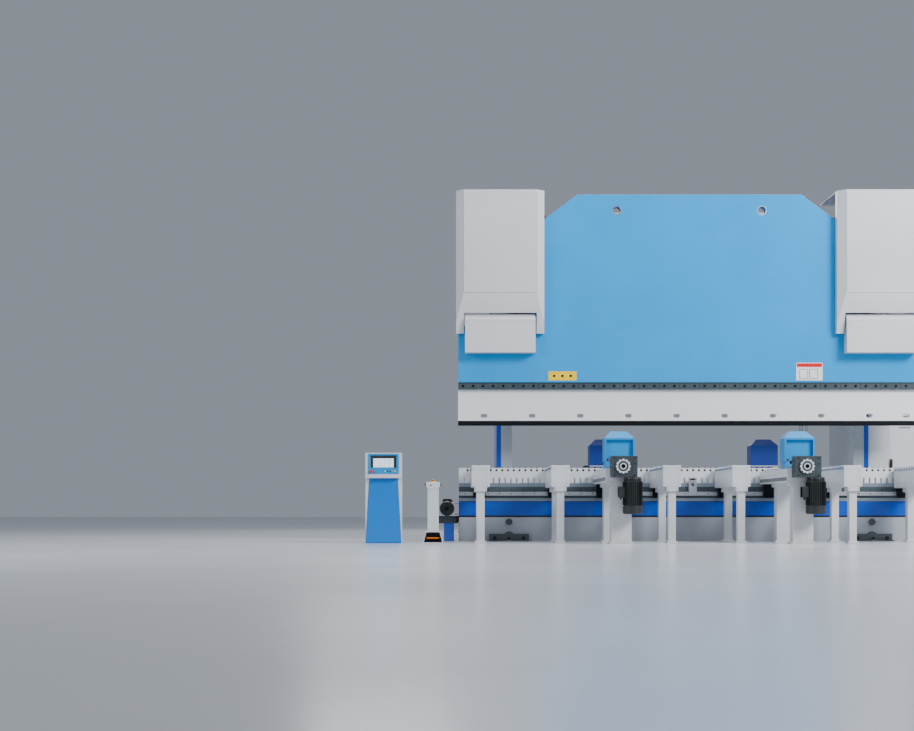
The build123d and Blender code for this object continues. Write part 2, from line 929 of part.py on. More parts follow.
def make_carriage(side, rest_y, recess, name):
    """Shoes on the two rails, nut on the screw, and the hooded head, open at its back."""
    x = side * drive_line_x
    front, rear = rest_y - feeder_depth / 2, rest_y + feeder_depth / 2
    deep = (front, rear)
    plate_bottom = screw_z + screw_r + nut_wall
    shoe_bottom = drive_arm_top_z + shoe_gap
    hood_half = feeder_width / 2
    shoulder_z = feeder_top_z - feeder_shoulder

    def head(wall):
        w = hood_half - wall
        return [
            (x - w, feeder_hood_bottom_z),
            (x + w, feeder_hood_bottom_z),
            (x + w, shoulder_z),
            (x + w - feeder_shoulder, feeder_top_z - wall),
            (x - w + feeder_shoulder, feeder_top_z - wall),
            (x - w, shoulder_z),
        ]

    with BuildPart() as carriage:
        plate_half = rail_offset + rail_width / 2 + shoe_wall
        block((x - plate_half, x + plate_half), deep, (plate_bottom, feeder_hood_bottom_z))
        for rail in sides:
            rail_x = x + rail * rail_offset
            block(around(rail_x, rail_width + 2 * shoe_wall), deep, (shoe_bottom, plate_bottom))
            block(
                around(rail_x, rail_width + 2 * slip),
                deep,
                (shoe_bottom, drive_arm_top_z + rail_height + slip),
                Mode.SUBTRACT,
            )
        block(around(x, 2 * (screw_r + nut_wall)), deep, (shoe_bottom, plate_bottom))
        disc_y([(x, screw_z)], screw_r + running, deep, Mode.SUBTRACT)
        prism_y(head(0), deep)
        slope = [(front, shoulder_z), (front, feeder_top_z), (front + feeder_facet, feeder_top_z)]
        prism_x(slope, around(x, feeder_width), Mode.SUBTRACT)
        prism_y(head(feeder_wall), (front + feeder_facet + feeder_wall, rear), Mode.SUBTRACT)
        if recess > 0:
            block(
                around(x, feeder_width - 2 * feeder_rim),
                (front, front + recess),
                (feeder_hood_bottom_z, shoulder_z - feeder_rim),
                Mode.SUBTRACT,
            )
    keep(carriage, name)


def make_screw(side, facing, name):
    x = side * drive_line_x
    near = facing * drive_arm_near_y
    far = facing * drive_arm_far_y
    end = facing * (drive_arm_far_y + gearbox_depth - journal_setback)
    with BuildPart() as screw:
        disc_y([(x, screw_z)], screw_r, (near, far + facing * screw_overlap))
        disc_y([(x, screw_z)], screw_journal_r, (far + facing * slip, end))
    keep(screw, name)


def make_gearboxes_and_motors():
    with BuildPart() as worm_gearboxes:
        for facing in sides:
            back = facing * drive_arm_far_y
            front = facing * (drive_arm_far_y + gearbox_depth - gearbox_flange)
            face = facing * (drive_arm_far_y + gearbox_depth)
            for side in sides:
                x = side * drive_line_x
                block((x - gearbox_left, x + gearbox_right), (back, front), (gearbox_bottom_z, gearbox_top_z))
                disc_y([(x, screw_z)], gearbox_flange_r, (front, face))
                disc_y([(x, screw_z)], screw_journal_r + running, (back, face), Mode.SUBTRACT)
    keep(worm_gearboxes, "worm_gearboxes")
    with BuildPart() as drive_motors:
        for facing in sides:
            y = facing * (drive_arm_far_y + motor_r + motor_gap)
            for side in sides:
                x = side * drive_line_x + motor_offset
                disc_z([(x, y)], motor_r, (motor_bottom_z, gearbox_bottom_z))
                left = x - motor_r - motor_box
                block((left, x), around(y, motor_r), motor_box_z)
    keep(drive_motors, "drive_motors")


# ---- feet, end drive and cabinet --------------------------------------------------------
def make_anchor_plates():
    with BuildPart() as anchor_plates:
        for facing in sides:
            near = facing * (-bed_front_y if facing < 0 else bed_core_thickness / 2)
            far = near + facing * anchor_thickness
            shift = anchor_rear_shift if facing > 0 else 0
            for side in sides:
                x = side * (port_x - shift)
                hole_x = side * port_x
                block(around(x, anchor_width), (near, far), (0, anchor_height))
                disc_y([(x, anchor_height - anchor_hump_drop)], anchor_hump_r, (near, far))
                block(around(x, 2 * anchor_hump_r), (near, far), (-anchor_hump_r, 0), Mode.SUBTRACT)
                eyes = [(x + end * anchor_eye_x, anchor_eye_z) for end in sides]
                disc_y(eyes, anchor_eye_r, (near, far), Mode.SUBTRACT)
                block(around(x, anchor_width), (near, near + facing * anchor_flange), (0, anchor_foot))
                hole = (hole_x, near + facing * anchor_hole_out)
                disc_z([hole], anchor_hole_r, (0, anchor_foot), Mode.SUBTRACT)
    keep(anchor_plates, "anchor_plates")


def make_end_drive():
    """Crowning drive at the left end of the bed: post, gear housing and motor."""
    half = bed_length / 2
    top = end_motor_z - end_motor_r - slip
    front, rear = end_block_front_y, end_block_rear_y
    screw_axis = (0, bed_top_z + wedge_height / 2)
    block_x = around(end_motor_x, end_block_width)
    with BuildPart() as end_motor_post:
        block(around(end_motor_x + end_post_shift, end_post_width), (front, rear), (0, end_block_bottom_z))
    keep(end_motor_post, "end_motor_post")
    with BuildPart() as end_gearbox:
        block(block_x, (front, rear), (end_block_bottom_z, top))
        block((block_x[1], riser_length - half), around(0, riser_width), (end_block_bottom_z, top))
        block((-half, riser_length - half), around(0, riser_width), (top, table_bottom_z - slip))
        disc_x(screw_axis, crowning_screw_r + running, (-half, riser_length - half), Mode.SUBTRACT)
    keep(end_gearbox, "end_gearbox")
    with BuildPart() as end_motor:
        disc_y([(end_motor_x, end_motor_z)], end_motor_r, (-end_motor_length, 0))
        block(around(end_motor_x, end_box_width), end_box_y, (end_motor_z, end_motor_z + end_box_top))
    keep(end_motor, "end_motor")


def make_cabinet():
    left = frame_x + frame_plate / 2
    right = left + cabinet_width
    front = throat_y + cabinet_set_back
    seam = left + cabinet_fixed_front
    body_front = front + door_thickness + slip
    hinge_y = front - hinge_stand_off
    with BuildPart() as electrical_cabinet:
        block((left, right), (body_front, front + cabinet_depth), (cabinet_bottom_z, cabinet_top_z))
        block(
            (left + cabinet_wall, right - cabinet_wall),
            (body_front, front + cabinet_depth - cabinet_wall),
            (cabinet_bottom_z + cabinet_wall, cabinet_top_z - cabinet_wall),
            Mode.SUBTRACT,
        )
        block((left, seam), (front, body_front + front_rail_depth), (cabinet_bottom_z, cabinet_top_z))
        block(
            (left + plinth_inset, right - plinth_inset),
            (front + plinth_setback, front + cabinet_depth - plinth_inset),
            (0, cabinet_bottom_z),
        )
        for z in hinge_heights:
            for end in sides:
                leaf_z = (z + end * (hinge_half + slip), z + end * (hinge_half + hinge_leaf))
                block((right, right + hinge_r), (hinge_y, body_front + hinge_strap), leaf_z)
                disc_z([(right, hinge_y)], hinge_r, leaf_z)
            disc_z([(right, hinge_y)], hinge_pin_r, around(z, 2 * (hinge_half + hinge_leaf)))
    keep(electrical_cabinet, "electrical_cabinet")
    lock = (seam + lock_inset, lock_z)
    with BuildPart() as cabinet_door:
        block((seam + door_gap, right), (front, front + door_thickness), (cabinet_bottom_z, cabinet_top_z))
        disc_y([lock], button_stem_r + running, (front, front + door_thickness), Mode.SUBTRACT)
        for z in hinge_heights:
            knuckle_z = around(z, 2 * hinge_half)
            block((right - 2 * hinge_r, right), (hinge_y, front), knuckle_z)
            disc_z([(right, hinge_y)], hinge_r, knuckle_z)
            disc_z([(right, hinge_y)], hinge_pin_r + running, knuckle_z, Mode.SUBTRACT)
    keep(cabinet_door, "cabinet_door")
    bar = (front - handle_gap - handle_thickness, front - handle_gap)
    with BuildPart() as cabinet_handle:
        disc_y([lock], button_stem_r, (bar[1], front + door_thickness))
        block(around(lock[0], handle_width), bar, (lock_z - handle_below, lock_z + handle_above))
    keep(cabinet_handle, "cabinet_handle")


# ---- operator pedestal and two-hand stand --------------------------------------------------
def make_pedestal():
    half = pedestal_width / 2
    waist = pedestal_waist / 2
    head_bottom = pedestal_top_z - pedestal_head
    front, rear = pedestal_front_y, pedestal_front_y + pedestal_depth
    body = [
        (pedestal_x - half, 0),
        (pedestal_x + half, 0),
        (pedestal_x + half, skirt_height),
        (pedestal_x + waist, head_bottom),
        (pedestal_x - waist, head_bottom),
        (pedestal_x - half, skirt_height),
    ]
    recess_z = (pedestal_top_z - recess_top_drop - recess_height, pedestal_top_z - recess_top_drop)
    glass_front = front + recess_depth - screen_thickness
    with BuildPart() as pedestal_body:
        prism_y(body, (front + body_setback, rear))
        for end in sides:
            block(
                (pedestal_x + end * (half - wing_width), pedestal_x + end * half),
                (front + wing_setback, rear),
                (0, head_bottom),
            )
    keep(pedestal_body, "pedestal_body")
    estop_x = pedestal_x - stop_x
    estop_z = head_bottom + stop_rise
    with BuildPart() as pedestal_head_box:
        block(around(pedestal_x, pedestal_width), (front, rear - head_setback), (head_bottom, pedestal_top_z))
        block(
            around(pedestal_x, recess_width),
            (front, front + recess_depth),
            recess_z,
            Mode.SUBTRACT,
        )
        disc_y([(estop_x, estop_z)], button_stem_r + running, (front, front + stem_bore_depth), Mode.SUBTRACT)
    keep(pedestal_head_box, "pedestal_head")
    with BuildPart() as pedestal_screen:
        block(
            around(pedestal_x, screen_width),
            (glass_front, front + recess_depth),
            around(sum(recess_z) / 2 - screen_drop, screen_height),
        )
    keep(pedestal_screen, "pedestal_screen")
    with BuildPart() as pedestal_estop:
        head_y = front - mushroom_stand_off
        disc_y([(estop_x, estop_z)], button_stem_r, (head_y, front + stem_length))
        disc_y([(estop_x, estop_z)], mushroom_r, (head_y - mushroom_height, head_y))
    keep(pedestal_estop, "pedestal_estop")


def base_outline(wall):
    """The pedal housing's flared outline, or the space inside it for its wall."""

    def half(z):
        return stand_base_half(z) - wall

    top = stand_base_height - wall
    return [
        (stand_x - half(0), wall),
        (stand_x + half(0), wall),
        (stand_x + half(stand_base_skirt), stand_base_skirt),
        (stand_x + half(top), top),
        (stand_x - half(top), top),
        (stand_x - half(stand_base_skirt), stand_base_skirt),
    ]


def stand_base_half(z):
    """Half of the housing's width at a height, straight up the skirt and then leaning in."""
    share = max(0, z - stand_base_skirt) / (stand_base_height - stand_base_skirt)
    return (stand_base_width + (stand_base_top_width - stand_base_width) * share) / 2


def make_two_hand_stand():
    front = pedestal_front_y + stand_setback
    middle_y = front + stand_depth / 2
    head_half = stand_head_width / 2
    palm_axis = (middle_y, stand_top_z - palm_drop)
    bore = button_stem_r + running
    with BuildPart() as stand_column:
        column_z = (stand_base_height, stand_top_z)
        block(around(stand_x, stand_column_width), (front, front + stand_depth), column_z)
        head_z = (stand_top_z - stand_head_height, stand_top_z)
        block(around(stand_x, stand_head_width), (front, front + stand_depth), head_z)
        disc_z([(stand_x, middle_y)], bore, (stand_top_z - stem_bore_depth, stand_top_z), Mode.SUBTRACT)
        for side in sides:
            face = stand_x + side * head_half
            disc_x(palm_axis, bore, (face - side * stem_bore_depth, face), Mode.SUBTRACT)
    keep(stand_column, "stand_column")
    stop_z = stand_top_z + mushroom_stand_off
    with BuildPart() as stand_estop:
        disc_z([(stand_x, middle_y)], button_stem_r, (stand_top_z - stem_length, stop_z))
        disc_z([(stand_x, middle_y)], mushroom_r, (stop_z, stop_z + mushroom_height))
    keep(stand_estop, "stand_estop")
    for side in sides:
        face = stand_x + side * head_half
        cap = face + side * palm_stand_off
        with BuildPart() as palm_button:
            disc_x(palm_axis, button_stem_r, (face - side * palm_stem, cap))
            disc_x(palm_axis, palm_r, (cap, cap + side * palm_thickness))
        keep(palm_button, f"{side_name(side)}_palm_button")
    base_front = front - stand_base_overhang
    base_rear = base_front + stand_base_depth
    with BuildPart() as pedal_housing:
        prism_y(base_outline(0), (base_front, base_rear))
        prism_y(base_outline(stand_base_wall), (base_front, base_rear - stand_base_wall), Mode.SUBTRACT)
    keep(pedal_housing, "pedal_housing")
    pivot = (base_rear - pedal_pivot_setback, pedal_pivot_z)
    toe = base_front + pedal_setback
    shaft_half = stand_base_half(pedal_pivot_z + pedal_shaft_r) - stand_base_wall - pedal_side_gap
    outline = [
        (toe, pedal_toe_z),
        (toe, pedal_toe_z + pedal_shaft_r),
        (pivot[0], pivot[1] + pedal_shaft_r),
        (pivot[0], pivot[1] - pedal_shaft_r),
    ]
    with BuildPart() as foot_pedal:
        prism_x(outline, around(stand_x, pedal_width))
        disc_x(pivot, pedal_shaft_r, around(stand_x, 2 * shaft_half))
    keep(foot_pedal, "foot_pedal")


for side in sides:
    make_hood(side)
    name = side_name(side)
    make_carriage(side, feeder_rest_y, feeder_recess, f"{name}_feed_carriage")
    make_carriage(side, gauge_rest_y, 0, f"{name}_gauge_carriage")
    make_screw(side, -1, f"{name}_feed_screw")
    make_screw(side, 1, f"{name}_gauge_screw")
make_side_frames()
make_cylinders()
make_frame_columns()
make_top_cross_beam()
make_bed_beam()
make_bed_cladding()
make_table_and_wedge()
make_die_bar(-1, "die_front")
make_die_bar(1, "die_rear")
make_ram_plate()
make_tool_clamps()
make_punch()
make_ram_covers()
make_pistons()
make_valve_blocks()
make_oil_tank()
make_hydraulic_pipes()
make_ram_guides()
make_support_arms()
make_ball_units()
make_arm_rails()
make_centre_locator()
make_drive_arms(-1, "feed_arms")
make_drive_arms(1, "gauge_arms")
make_gearboxes_and_motors()
make_anchor_plates()
make_end_drive()
make_cabinet()
make_pedestal()
make_two_hand_stand()
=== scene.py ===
"""Studio picture of a 6 m hydraulic press brake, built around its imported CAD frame. Metres."""

import json
import math

import bmesh
import bpy
from mathutils import Matrix, Vector


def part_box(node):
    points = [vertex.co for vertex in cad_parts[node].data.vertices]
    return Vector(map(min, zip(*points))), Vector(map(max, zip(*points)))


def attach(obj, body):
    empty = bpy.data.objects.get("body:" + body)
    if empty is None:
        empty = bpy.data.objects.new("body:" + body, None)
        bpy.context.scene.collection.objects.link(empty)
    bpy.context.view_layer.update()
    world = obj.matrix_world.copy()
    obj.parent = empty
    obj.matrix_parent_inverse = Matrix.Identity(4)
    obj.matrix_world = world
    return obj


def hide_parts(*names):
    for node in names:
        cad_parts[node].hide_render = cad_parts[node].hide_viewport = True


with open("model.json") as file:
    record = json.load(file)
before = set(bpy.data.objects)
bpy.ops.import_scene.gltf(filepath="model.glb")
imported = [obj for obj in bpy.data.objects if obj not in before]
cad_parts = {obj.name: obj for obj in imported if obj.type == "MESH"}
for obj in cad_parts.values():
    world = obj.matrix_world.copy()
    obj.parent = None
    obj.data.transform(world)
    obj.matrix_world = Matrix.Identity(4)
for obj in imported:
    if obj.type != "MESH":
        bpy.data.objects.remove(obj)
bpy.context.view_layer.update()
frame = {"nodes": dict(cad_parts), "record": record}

SIDES = (-1, 1)
NAMES = {-1: "left", 1: "right"}
FRONT, REAR, UP, DOWN = (0, -1, 0), (0, 1, 0), (0, 0, 1), (0, 0, -1)

# places that several pieces share
FRAME_X = 2.465  # middle of each side frame and cylinder
UNIT_X = 1.077  # middle of each feeder and gauge unit
FOOT_X = 2.35  # middle of each anchor plate and apron port
ARM_END = 1.667  # outer end of the feeder and gauge arms
SCREW_Z = 0.915  # height of the feeder and gauge screws
CABINET_FRONT, CABINET_RIGHT = 0.522, 3.167
BUTTON_STEM_R = 0.0079


# ---- materials ----
class Recipe:
    """A node material whose colour, roughness and relief vary over the surface."""

    def __init__(self, name, color, metallic=0.0, roughness=0.4, coat=0.0):
        self.material = bpy.data.materials.new(name)
        self.material.use_nodes = True
        self.material.diffuse_color = (*color, 1)
        self.tree = self.material.node_tree
        self.shader = self.tree.nodes["Principled BSDF"]
        self.shader.inputs["Metallic"].default_value = metallic
        self.shader.inputs["Roughness"].default_value = roughness
        self.shader.inputs["Coat Weight"].default_value = coat
        self.shader.inputs["Coat Roughness"].default_value = 0.12
        self.place = self.node("ShaderNodeTexCoord").outputs["Object"]
        self.color = color
        self.base = None
        self.normal = None

    def node(self, kind, **settings):
        made = self.tree.nodes.new(kind)
        for key, value in settings.items():
            setattr(made, key, value)
        return made

    def link(self, source, target):
        self.tree.links.new(source, target)

    def noise(self, scale, detail=3.0, stretch=(1, 1, 1)):
        mapping = self.node("ShaderNodeMapping")
        mapping.inputs["Scale"].default_value = stretch
        self.link(self.place, mapping.inputs["Vector"])
        noise = self.node("ShaderNodeTexNoise")
        noise.inputs["Scale"].default_value = scale
        noise.inputs["Detail"].default_value = detail
        self.link(mapping.outputs["Vector"], noise.inputs["Vector"])
        return noise.outputs["Fac"]

    def band(self, fac, low, high, to_low, to_high):
        ranged = self.node("ShaderNodeMapRange")
        for key, value in zip(("From Min", "From Max", "To Min", "To Max"), (low, high, to_low, to_high)):
            ranged.inputs[key].default_value = value
        self.link(fac, ranged.inputs["Value"])
        return ranged.outputs["Result"]

    def mix(self, fac, first, second):
        """Mix two colours, each a value or a socket."""
        mixer = self.node("ShaderNodeMix", data_type="RGBA")
        self.link(fac, mixer.inputs["Factor"])
        for socket, value in ((mixer.inputs[6], first), (mixer.inputs[7], second)):
            if isinstance(value, tuple):
                socket.default_value = (*value, 1)
            else:
                self.link(value, socket)
        return mixer.outputs[2]

    def tint(self, scale, amount, stretch=(1, 1, 1)):
        """Slow change of the colour over the surface."""
        dark = tuple(c * (1 - amount) for c in self.color)
        light = tuple(min(1, c * (1 + amount)) for c in self.color)
        self.base = self.mix(self.band(self.noise(scale, 3, stretch), 0.35, 0.65, 0, 1), dark, light)

    def over(self, mask, color):
        self.base = self.mix(mask, self.base or self.color, color)

    def floor_dust(self, color, height, strength):
        """Dust that thins out with height above the floor."""
        split = self.node("ShaderNodeSeparateXYZ")
        self.link(self.place, split.inputs["Vector"])
        fade = self.band(split.outputs["Z"], 0, height, strength, 0)
        patch = self.node("ShaderNodeMath", operation="MULTIPLY")
        self.link(fade, patch.inputs[0])
        self.link(self.band(self.noise(9, 6), 0.3, 0.7, 0.2, 1), patch.inputs[1])
        self.over(patch.outputs["Value"], color)

    def gloss(self, scale, low, high, stretch=(1, 1, 1)):
        roughness = self.band(self.noise(scale, 4, stretch), 0.3, 0.7, low, high)
        self.link(roughness, self.shader.inputs["Roughness"])

    def relief(self, scale, depth, strength=0.4, detail=2.0, stretch=(1, 1, 1)):
        bump = self.node("ShaderNodeBump")
        bump.inputs["Strength"].default_value = strength
        bump.inputs["Distance"].default_value = depth
        self.link(self.noise(scale, detail, stretch), bump.inputs["Height"])
        if self.normal:
            self.link(self.normal, bump.inputs["Normal"])
        self.normal = bump.outputs["Normal"]

    def done(self):
        if self.base:
            self.link(self.base, self.shader.inputs["Base Color"])
        else:
            self.shader.inputs["Base Color"].default_value = (*self.color, 1)
        if self.normal:
            self.link(self.normal, self.shader.inputs["Normal"])
        return self.material


def paint(name, color, gloss=(0.26, 0.38), peel=0.00025, dust=0.0, coat=0.25, tint=0.035):
    """Sprayed enamel: orange peel, slow colour drift, wipe marks and a little floor dust."""
    recipe = Recipe(name, color, roughness=0.32, coat=coat)
    recipe.tint(0.9, tint)
    scuff = recipe.band(recipe.noise(38, 8, (1, 1, 0.25)), 0.66, 0.78, 0, 0.22)
    recipe.over(scuff, tuple(min(1, 0.6 * c + 0.25) for c in color))
    if dust:
        recipe.floor_dust((0.30, 0.28, 0.25), 0.35, dust)
    recipe.gloss(2.5, *gloss)
    recipe.relief(420, peel, 0.25)
    recipe.relief(1.7, 0.004, 0.06)
    return recipe.done()


def steel(
    name, color, gloss=(0.22, 0.36), grain=(1, 40, 40), depth=0.0002, tint=0.06,
    scale=12, stain=0.35, metal=1.0,
):
    """Ground or brushed steel, its grain running along the axis that is stretched least."""
    recipe = Recipe(name, color, metallic=metal, roughness=0.3)
    recipe.tint(scale, tint, grain)
    spots = recipe.band(recipe.noise(3.5, 7), 0.58, 0.75, 0, stain)
    recipe.over(spots, tuple(c * 0.72 for c in color))
    recipe.gloss(scale, *gloss, grain)
    recipe.relief(scale * 2, depth, 0.3, 3, grain)
    return recipe.done()


def cast(name, color, gloss=(0.42, 0.6), grit=0.0006):
    """Painted casting with a sandy skin."""
    recipe = Recipe(name, color, roughness=0.5, coat=0.08)
    recipe.tint(5, 0.12)
    rub = recipe.band(recipe.noise(60, 8), 0.68, 0.8, 0, 0.3)
    recipe.over(rub, tuple(min(1, c + 0.12) for c in color))
    recipe.gloss(14, *gloss)
    recipe.relief(260, grit, 0.5, 4)
    return recipe.done()


def plastic(name, color, gloss=(0.3, 0.45), depth=0.0001):
    recipe = Recipe(name, color, roughness=0.38)
    recipe.tint(20, 0.05)
    recipe.gloss(30, *gloss)
    recipe.relief(900, depth, 0.3)
    return recipe.done()


def screen(name):
    """Lit display: pale panes on a blue-white ground."""
    recipe = Recipe(name, (0.75, 0.85, 0.92), roughness=0.12, coat=0.6)
    recipe.tint(7, 0.08)
    brick = recipe.node("ShaderNodeTexBrick", offset=0.0)
    sizes = {"Scale": 1.0, "Mortar Size": 0.0022, "Brick Width": 0.062, "Row Height": 0.036}
    for key, value in sizes.items():
        brick.inputs[key].default_value = value
    brick.inputs["Color1"].default_value = (0.86, 0.92, 0.96, 1)
    brick.inputs["Color2"].default_value = (0.70, 0.84, 0.93, 1)
    brick.inputs["Mortar"].default_value = (0.25, 0.42, 0.55, 1)
    turn = recipe.node("ShaderNodeMapping")
    turn.inputs["Rotation"].default_value = (math.radians(90), 0, 0)
    recipe.link(recipe.place, turn.inputs["Vector"])
    recipe.link(turn.outputs["Vector"], brick.inputs["Vector"])
    recipe.base = brick.outputs["Color"]
    recipe.link(brick.outputs["Color"], recipe.shader.inputs["Emission Color"])
    recipe.shader.inputs["Emission Strength"].default_value = 0.55
    recipe.relief(600, 0.00005, 0.1)
    return recipe.done()


BLUE = paint("ram_blue", (0.0, 0.315, 0.74), gloss=(0.15, 0.22), coat=0.1, tint=0.04)
DEEP = paint("deep_blue", (0.0, 0.075, 0.50), gloss=(0.15, 0.22), dust=0.1, coat=0.1)
BRIGHT = paint("carriage_blue", (0.0, 0.26, 0.60), gloss=(0.34, 0.44), coat=0.0)
NAVY = paint("gauge_blue", (0.001, 0.035, 0.26), gloss=(0.34, 0.44), coat=0.0)
COVER = paint("cover_grey", (0.60, 0.62, 0.66), gloss=(0.34, 0.46), coat=0.1)
ARM = paint("arm_grey", (0.62, 0.64, 0.67), gloss=(0.34, 0.46), dust=0.35, coat=0.1)
APRON = paint("apron_grey", (0.36, 0.40, 0.46), gloss=(0.34, 0.46), dust=0.35, coat=0.1)
COLUMN = paint("column_grey", (0.36, 0.41, 0.47), dust=0.2, coat=0.1)
SLATE = paint("slate", (0.040, 0.062, 0.078), gloss=(0.3, 0.46), coat=0.15, dust=0.2)
GEAR = cast("gear_casting", (0.030, 0.046, 0.056))
MOTOR = cast("motor_black", (0.012, 0.016, 0.018), gloss=(0.36, 0.52))
BLACKED = steel("blackened_steel", (0.02, 0.023, 0.027), gloss=(0.35, 0.5))
# dark plastic for seams and vents, also used as painted shade in holes, slots and folds and as a painted
# shadow line
DARK = plastic("seam_and_shade_black", (0.01, 0.011, 0.012), gloss=(0.5, 0.7))
GROUND = steel("ground_steel", (0.56, 0.58, 0.61), gloss=(0.26, 0.42))
PUNCH = steel(
    "punch_steel", (0.90, 0.91, 0.93), gloss=(0.3, 0.38), scale=14, tint=0.02,
    stain=0.06, depth=0.00006, metal=0.25,
)
TABLE = steel("table_steel", (0.30, 0.36, 0.42), gloss=(0.3, 0.45))
DIE = steel("die_steel", (0.80, 0.82, 0.85), gloss=(0.34, 0.46), scale=14, tint=0.03, stain=0.15, metal=0.45)
CHROME = steel("rod_chrome", (0.80, 0.81, 0.83), gloss=(0.06, 0.14), grain=(30, 30, 1))
BALL = steel("ball_steel", (0.42, 0.52, 0.66), gloss=(0.1, 0.2), grain=(1, 1, 1))
ZINC = steel("zinc_bolts", (0.55, 0.56, 0.56), gloss=(0.3, 0.45), grain=(1, 1, 1), scale=60)
BRONZE = steel("gib_bronze", (0.52, 0.34, 0.14), gloss=(0.3, 0.45), grain=(40, 40, 1))
BLACK = plastic("black_plastic", (0.015, 0.015, 0.016))
RED = plastic("stop_red", (0.62, 0.012, 0.012), gloss=(0.22, 0.32))
YELLOW = plastic("stop_yellow", (0.90, 0.62, 0.0))
ORANGE = plastic("pedal_orange", (0.84, 0.20, 0.012))
BROWN = plastic("cable_brown", (0.20, 0.07, 0.03))
WHITE = plastic("plate_white", (0.78, 0.79, 0.80))
PANEL = paint("pedestal_blue", (0.0, 0.18, 0.62), gloss=(0.15, 0.22), coat=0.1)
SCREEN = screen("display")


# ---- mesh building ----
def frame_of(axis):
    """Rotation that takes +Z to an axis."""
    return Vector(UP).rotation_difference(Vector(axis)).to_matrix().to_4x4()


class Piece:
    """One visible piece: shapes are added to it, each in a material, and it rides on a body."""

    def __init__(self, name, body, slot, replaces=()):
        self.name, self.body, self.slot, self.replaces = name, body, slot, replaces
        self.mesh = bmesh.new()
        self.materials = []

    def take(self, part, material, soften=0.0, segments=2, sharp=40):
        """Round the sharp edges of a small mesh and add it to the piece."""
        if soften:
            limit = math.radians(sharp)
            edges = [e for e in part.edges if e.is_manifold and e.calc_face_angle(0) > limit]
            bmesh.ops.bevel(
                part, geom=edges, offset=soften, segments=segments,
                affect="EDGES", profile=0.5, clamp_overlap=True,
            )
        if material not in self.materials:
            self.materials.append(material)
        number = self.materials.index(material)
        for face in part.faces:
            face.material_index = number
        store = bpy.data.meshes.new("part")
        part.to_mesh(store)
        part.free()
        self.mesh.from_mesh(store)
        bpy.data.meshes.remove(store)

    def box(self, low, high, material, soften=0.003):
        low, high = [Vector(map(f, low, high)) for f in (min, max)]
        part = bmesh.new()
        bmesh.ops.create_cube(part, size=1)
        size = high - low
        for v in part.verts:
            v.co = Vector((v.co[i] + 0.5) * size[i] + low[i] for i in range(3))
        self.take(part, material, min(soften, min(size) * 0.3))

    def prism(self, outline, axis, span, material, soften=0.002):
        """A closed outline in the two other axes, in X, Y, Z order, drawn out along one axis."""
        part = bmesh.new()
        others = [i for i in range(3) if i != axis]
        ring = []
        for a, b in outline:
            place = [0.0, 0.0, 0.0]
            place[others[0]], place[others[1]], place[axis] = a, b, span[0]
            ring.append(part.verts.new(place))
        face = part.faces.new(ring)
        moved = bmesh.ops.extrude_face_region(part, geom=[face])["geom"]
        step = Vector([0, 0, 0])
        step[axis] = span[1] - span[0]
        bmesh.ops.translate(part, vec=step, verts=[v for v in moved if isinstance(v, bmesh.types.BMVert)])
        bmesh.ops.recalc_face_normals(part, faces=part.faces)
        self.take(part, material, soften)

    def lathe(self, start, axis, profile, material, sides=32):
        """A profile of (radius, distance) pairs turned about an axis from a start point."""
        part = bmesh.new()
        turn = Matrix.Translation(start) @ frame_of(axis)
        rings = []
        for radius, along in profile:
            if radius < 1e-6:
                rings.append([part.verts.new(turn @ Vector((0, 0, along)))])
                continue
            rings.append([part.verts.new(turn @ Vector((*at, along))) for at in circle(sides, radius)])
        for near, far in zip(rings, rings[1:]):
            for i in range(sides):
                j = (i + 1) % sides
                corners = near[i % len(near)], near[j % len(near)], far[j % len(far)], far[i % len(far)]
                corners = list(dict.fromkeys(corners))
                if len(corners) > 2:
                    part.faces.new(corners)
        bmesh.ops.recalc_face_normals(part, faces=part.faces)
        self.take(part, material)

    def rod(self, start, end, radius, material, sides=32, soften=0.002):
        """A round bar with eased rims."""
        start, end = Vector(start), Vector(end)
        long = (end - start).length
        s = min(soften, radius * 0.3, long * 0.3)
        profile = [(0, 0), (radius - s, 0), (radius, s), (radius, long - s), (radius - s, long), (0, long)]
        self.lathe(start, (end - start).normalized(), profile, material, sides)

    def peg(self, start, axis, length, radius, material, sides=32, soften=0.002):
        """A rod given by its start, direction and length."""
        start = Vector(start)
        self.rod(start, start + Vector(axis) * length, radius, material, sides, soften)

    def ring(self, centre, axis, outer, inner, thick, material, sides=40, soften=0.0015):
        """A flat ring standing on its centre point along the axis."""
        s = min(soften, thick * 0.3)
        profile = [(inner, 0), (outer, 0), (outer, thick - s), (outer - s, thick)]
        profile += [(inner + s, thick), (inner, thick - s), (inner, 0)]
        self.lathe(centre, axis, profile, material, sides)

    def bolt(self, centre, axis, size, material=ZINC, washer=True):
        """Hexagon head, with a washer under it unless told otherwise."""
        head, half_width = size * 0.7, size * 0.9
        base = Vector(centre)
        if washer:
            self.ring(base, axis, size * 1.15, size * 0.2, size * 0.16, material, 20)
        part = bmesh.new()
        bmesh.ops.create_cone(
            part, cap_ends=True, segments=6, radius1=half_width, radius2=half_width, depth=head
        )
        turn = Matrix.Translation(base + Vector(axis) * (head / 2 + size * 0.12)) @ frame_of(axis)
        bmesh.ops.transform(part, matrix=turn, verts=part.verts)
        self.take(part, material, size * 0.08, 1)

    def socket(self, centre, axis, radius, height, material):
        """Socket-head screw: chamfered rim and a round well."""
        profile = [(radius, 0), (radius, height * 0.85), (radius * 0.88, height), (radius * 0.52, height)]
        profile += [(radius * 0.5, height * 0.35), (0, height * 0.3)]
        self.lathe(centre, axis, profile, material, 18)

    def sunk(self, face, axis, radius):
        """Small screw whose head is level with the face it is set in."""
        depth = 0.0035
        self.socket(Vector(face) - Vector(axis) * depth, axis, radius, depth, ZINC)

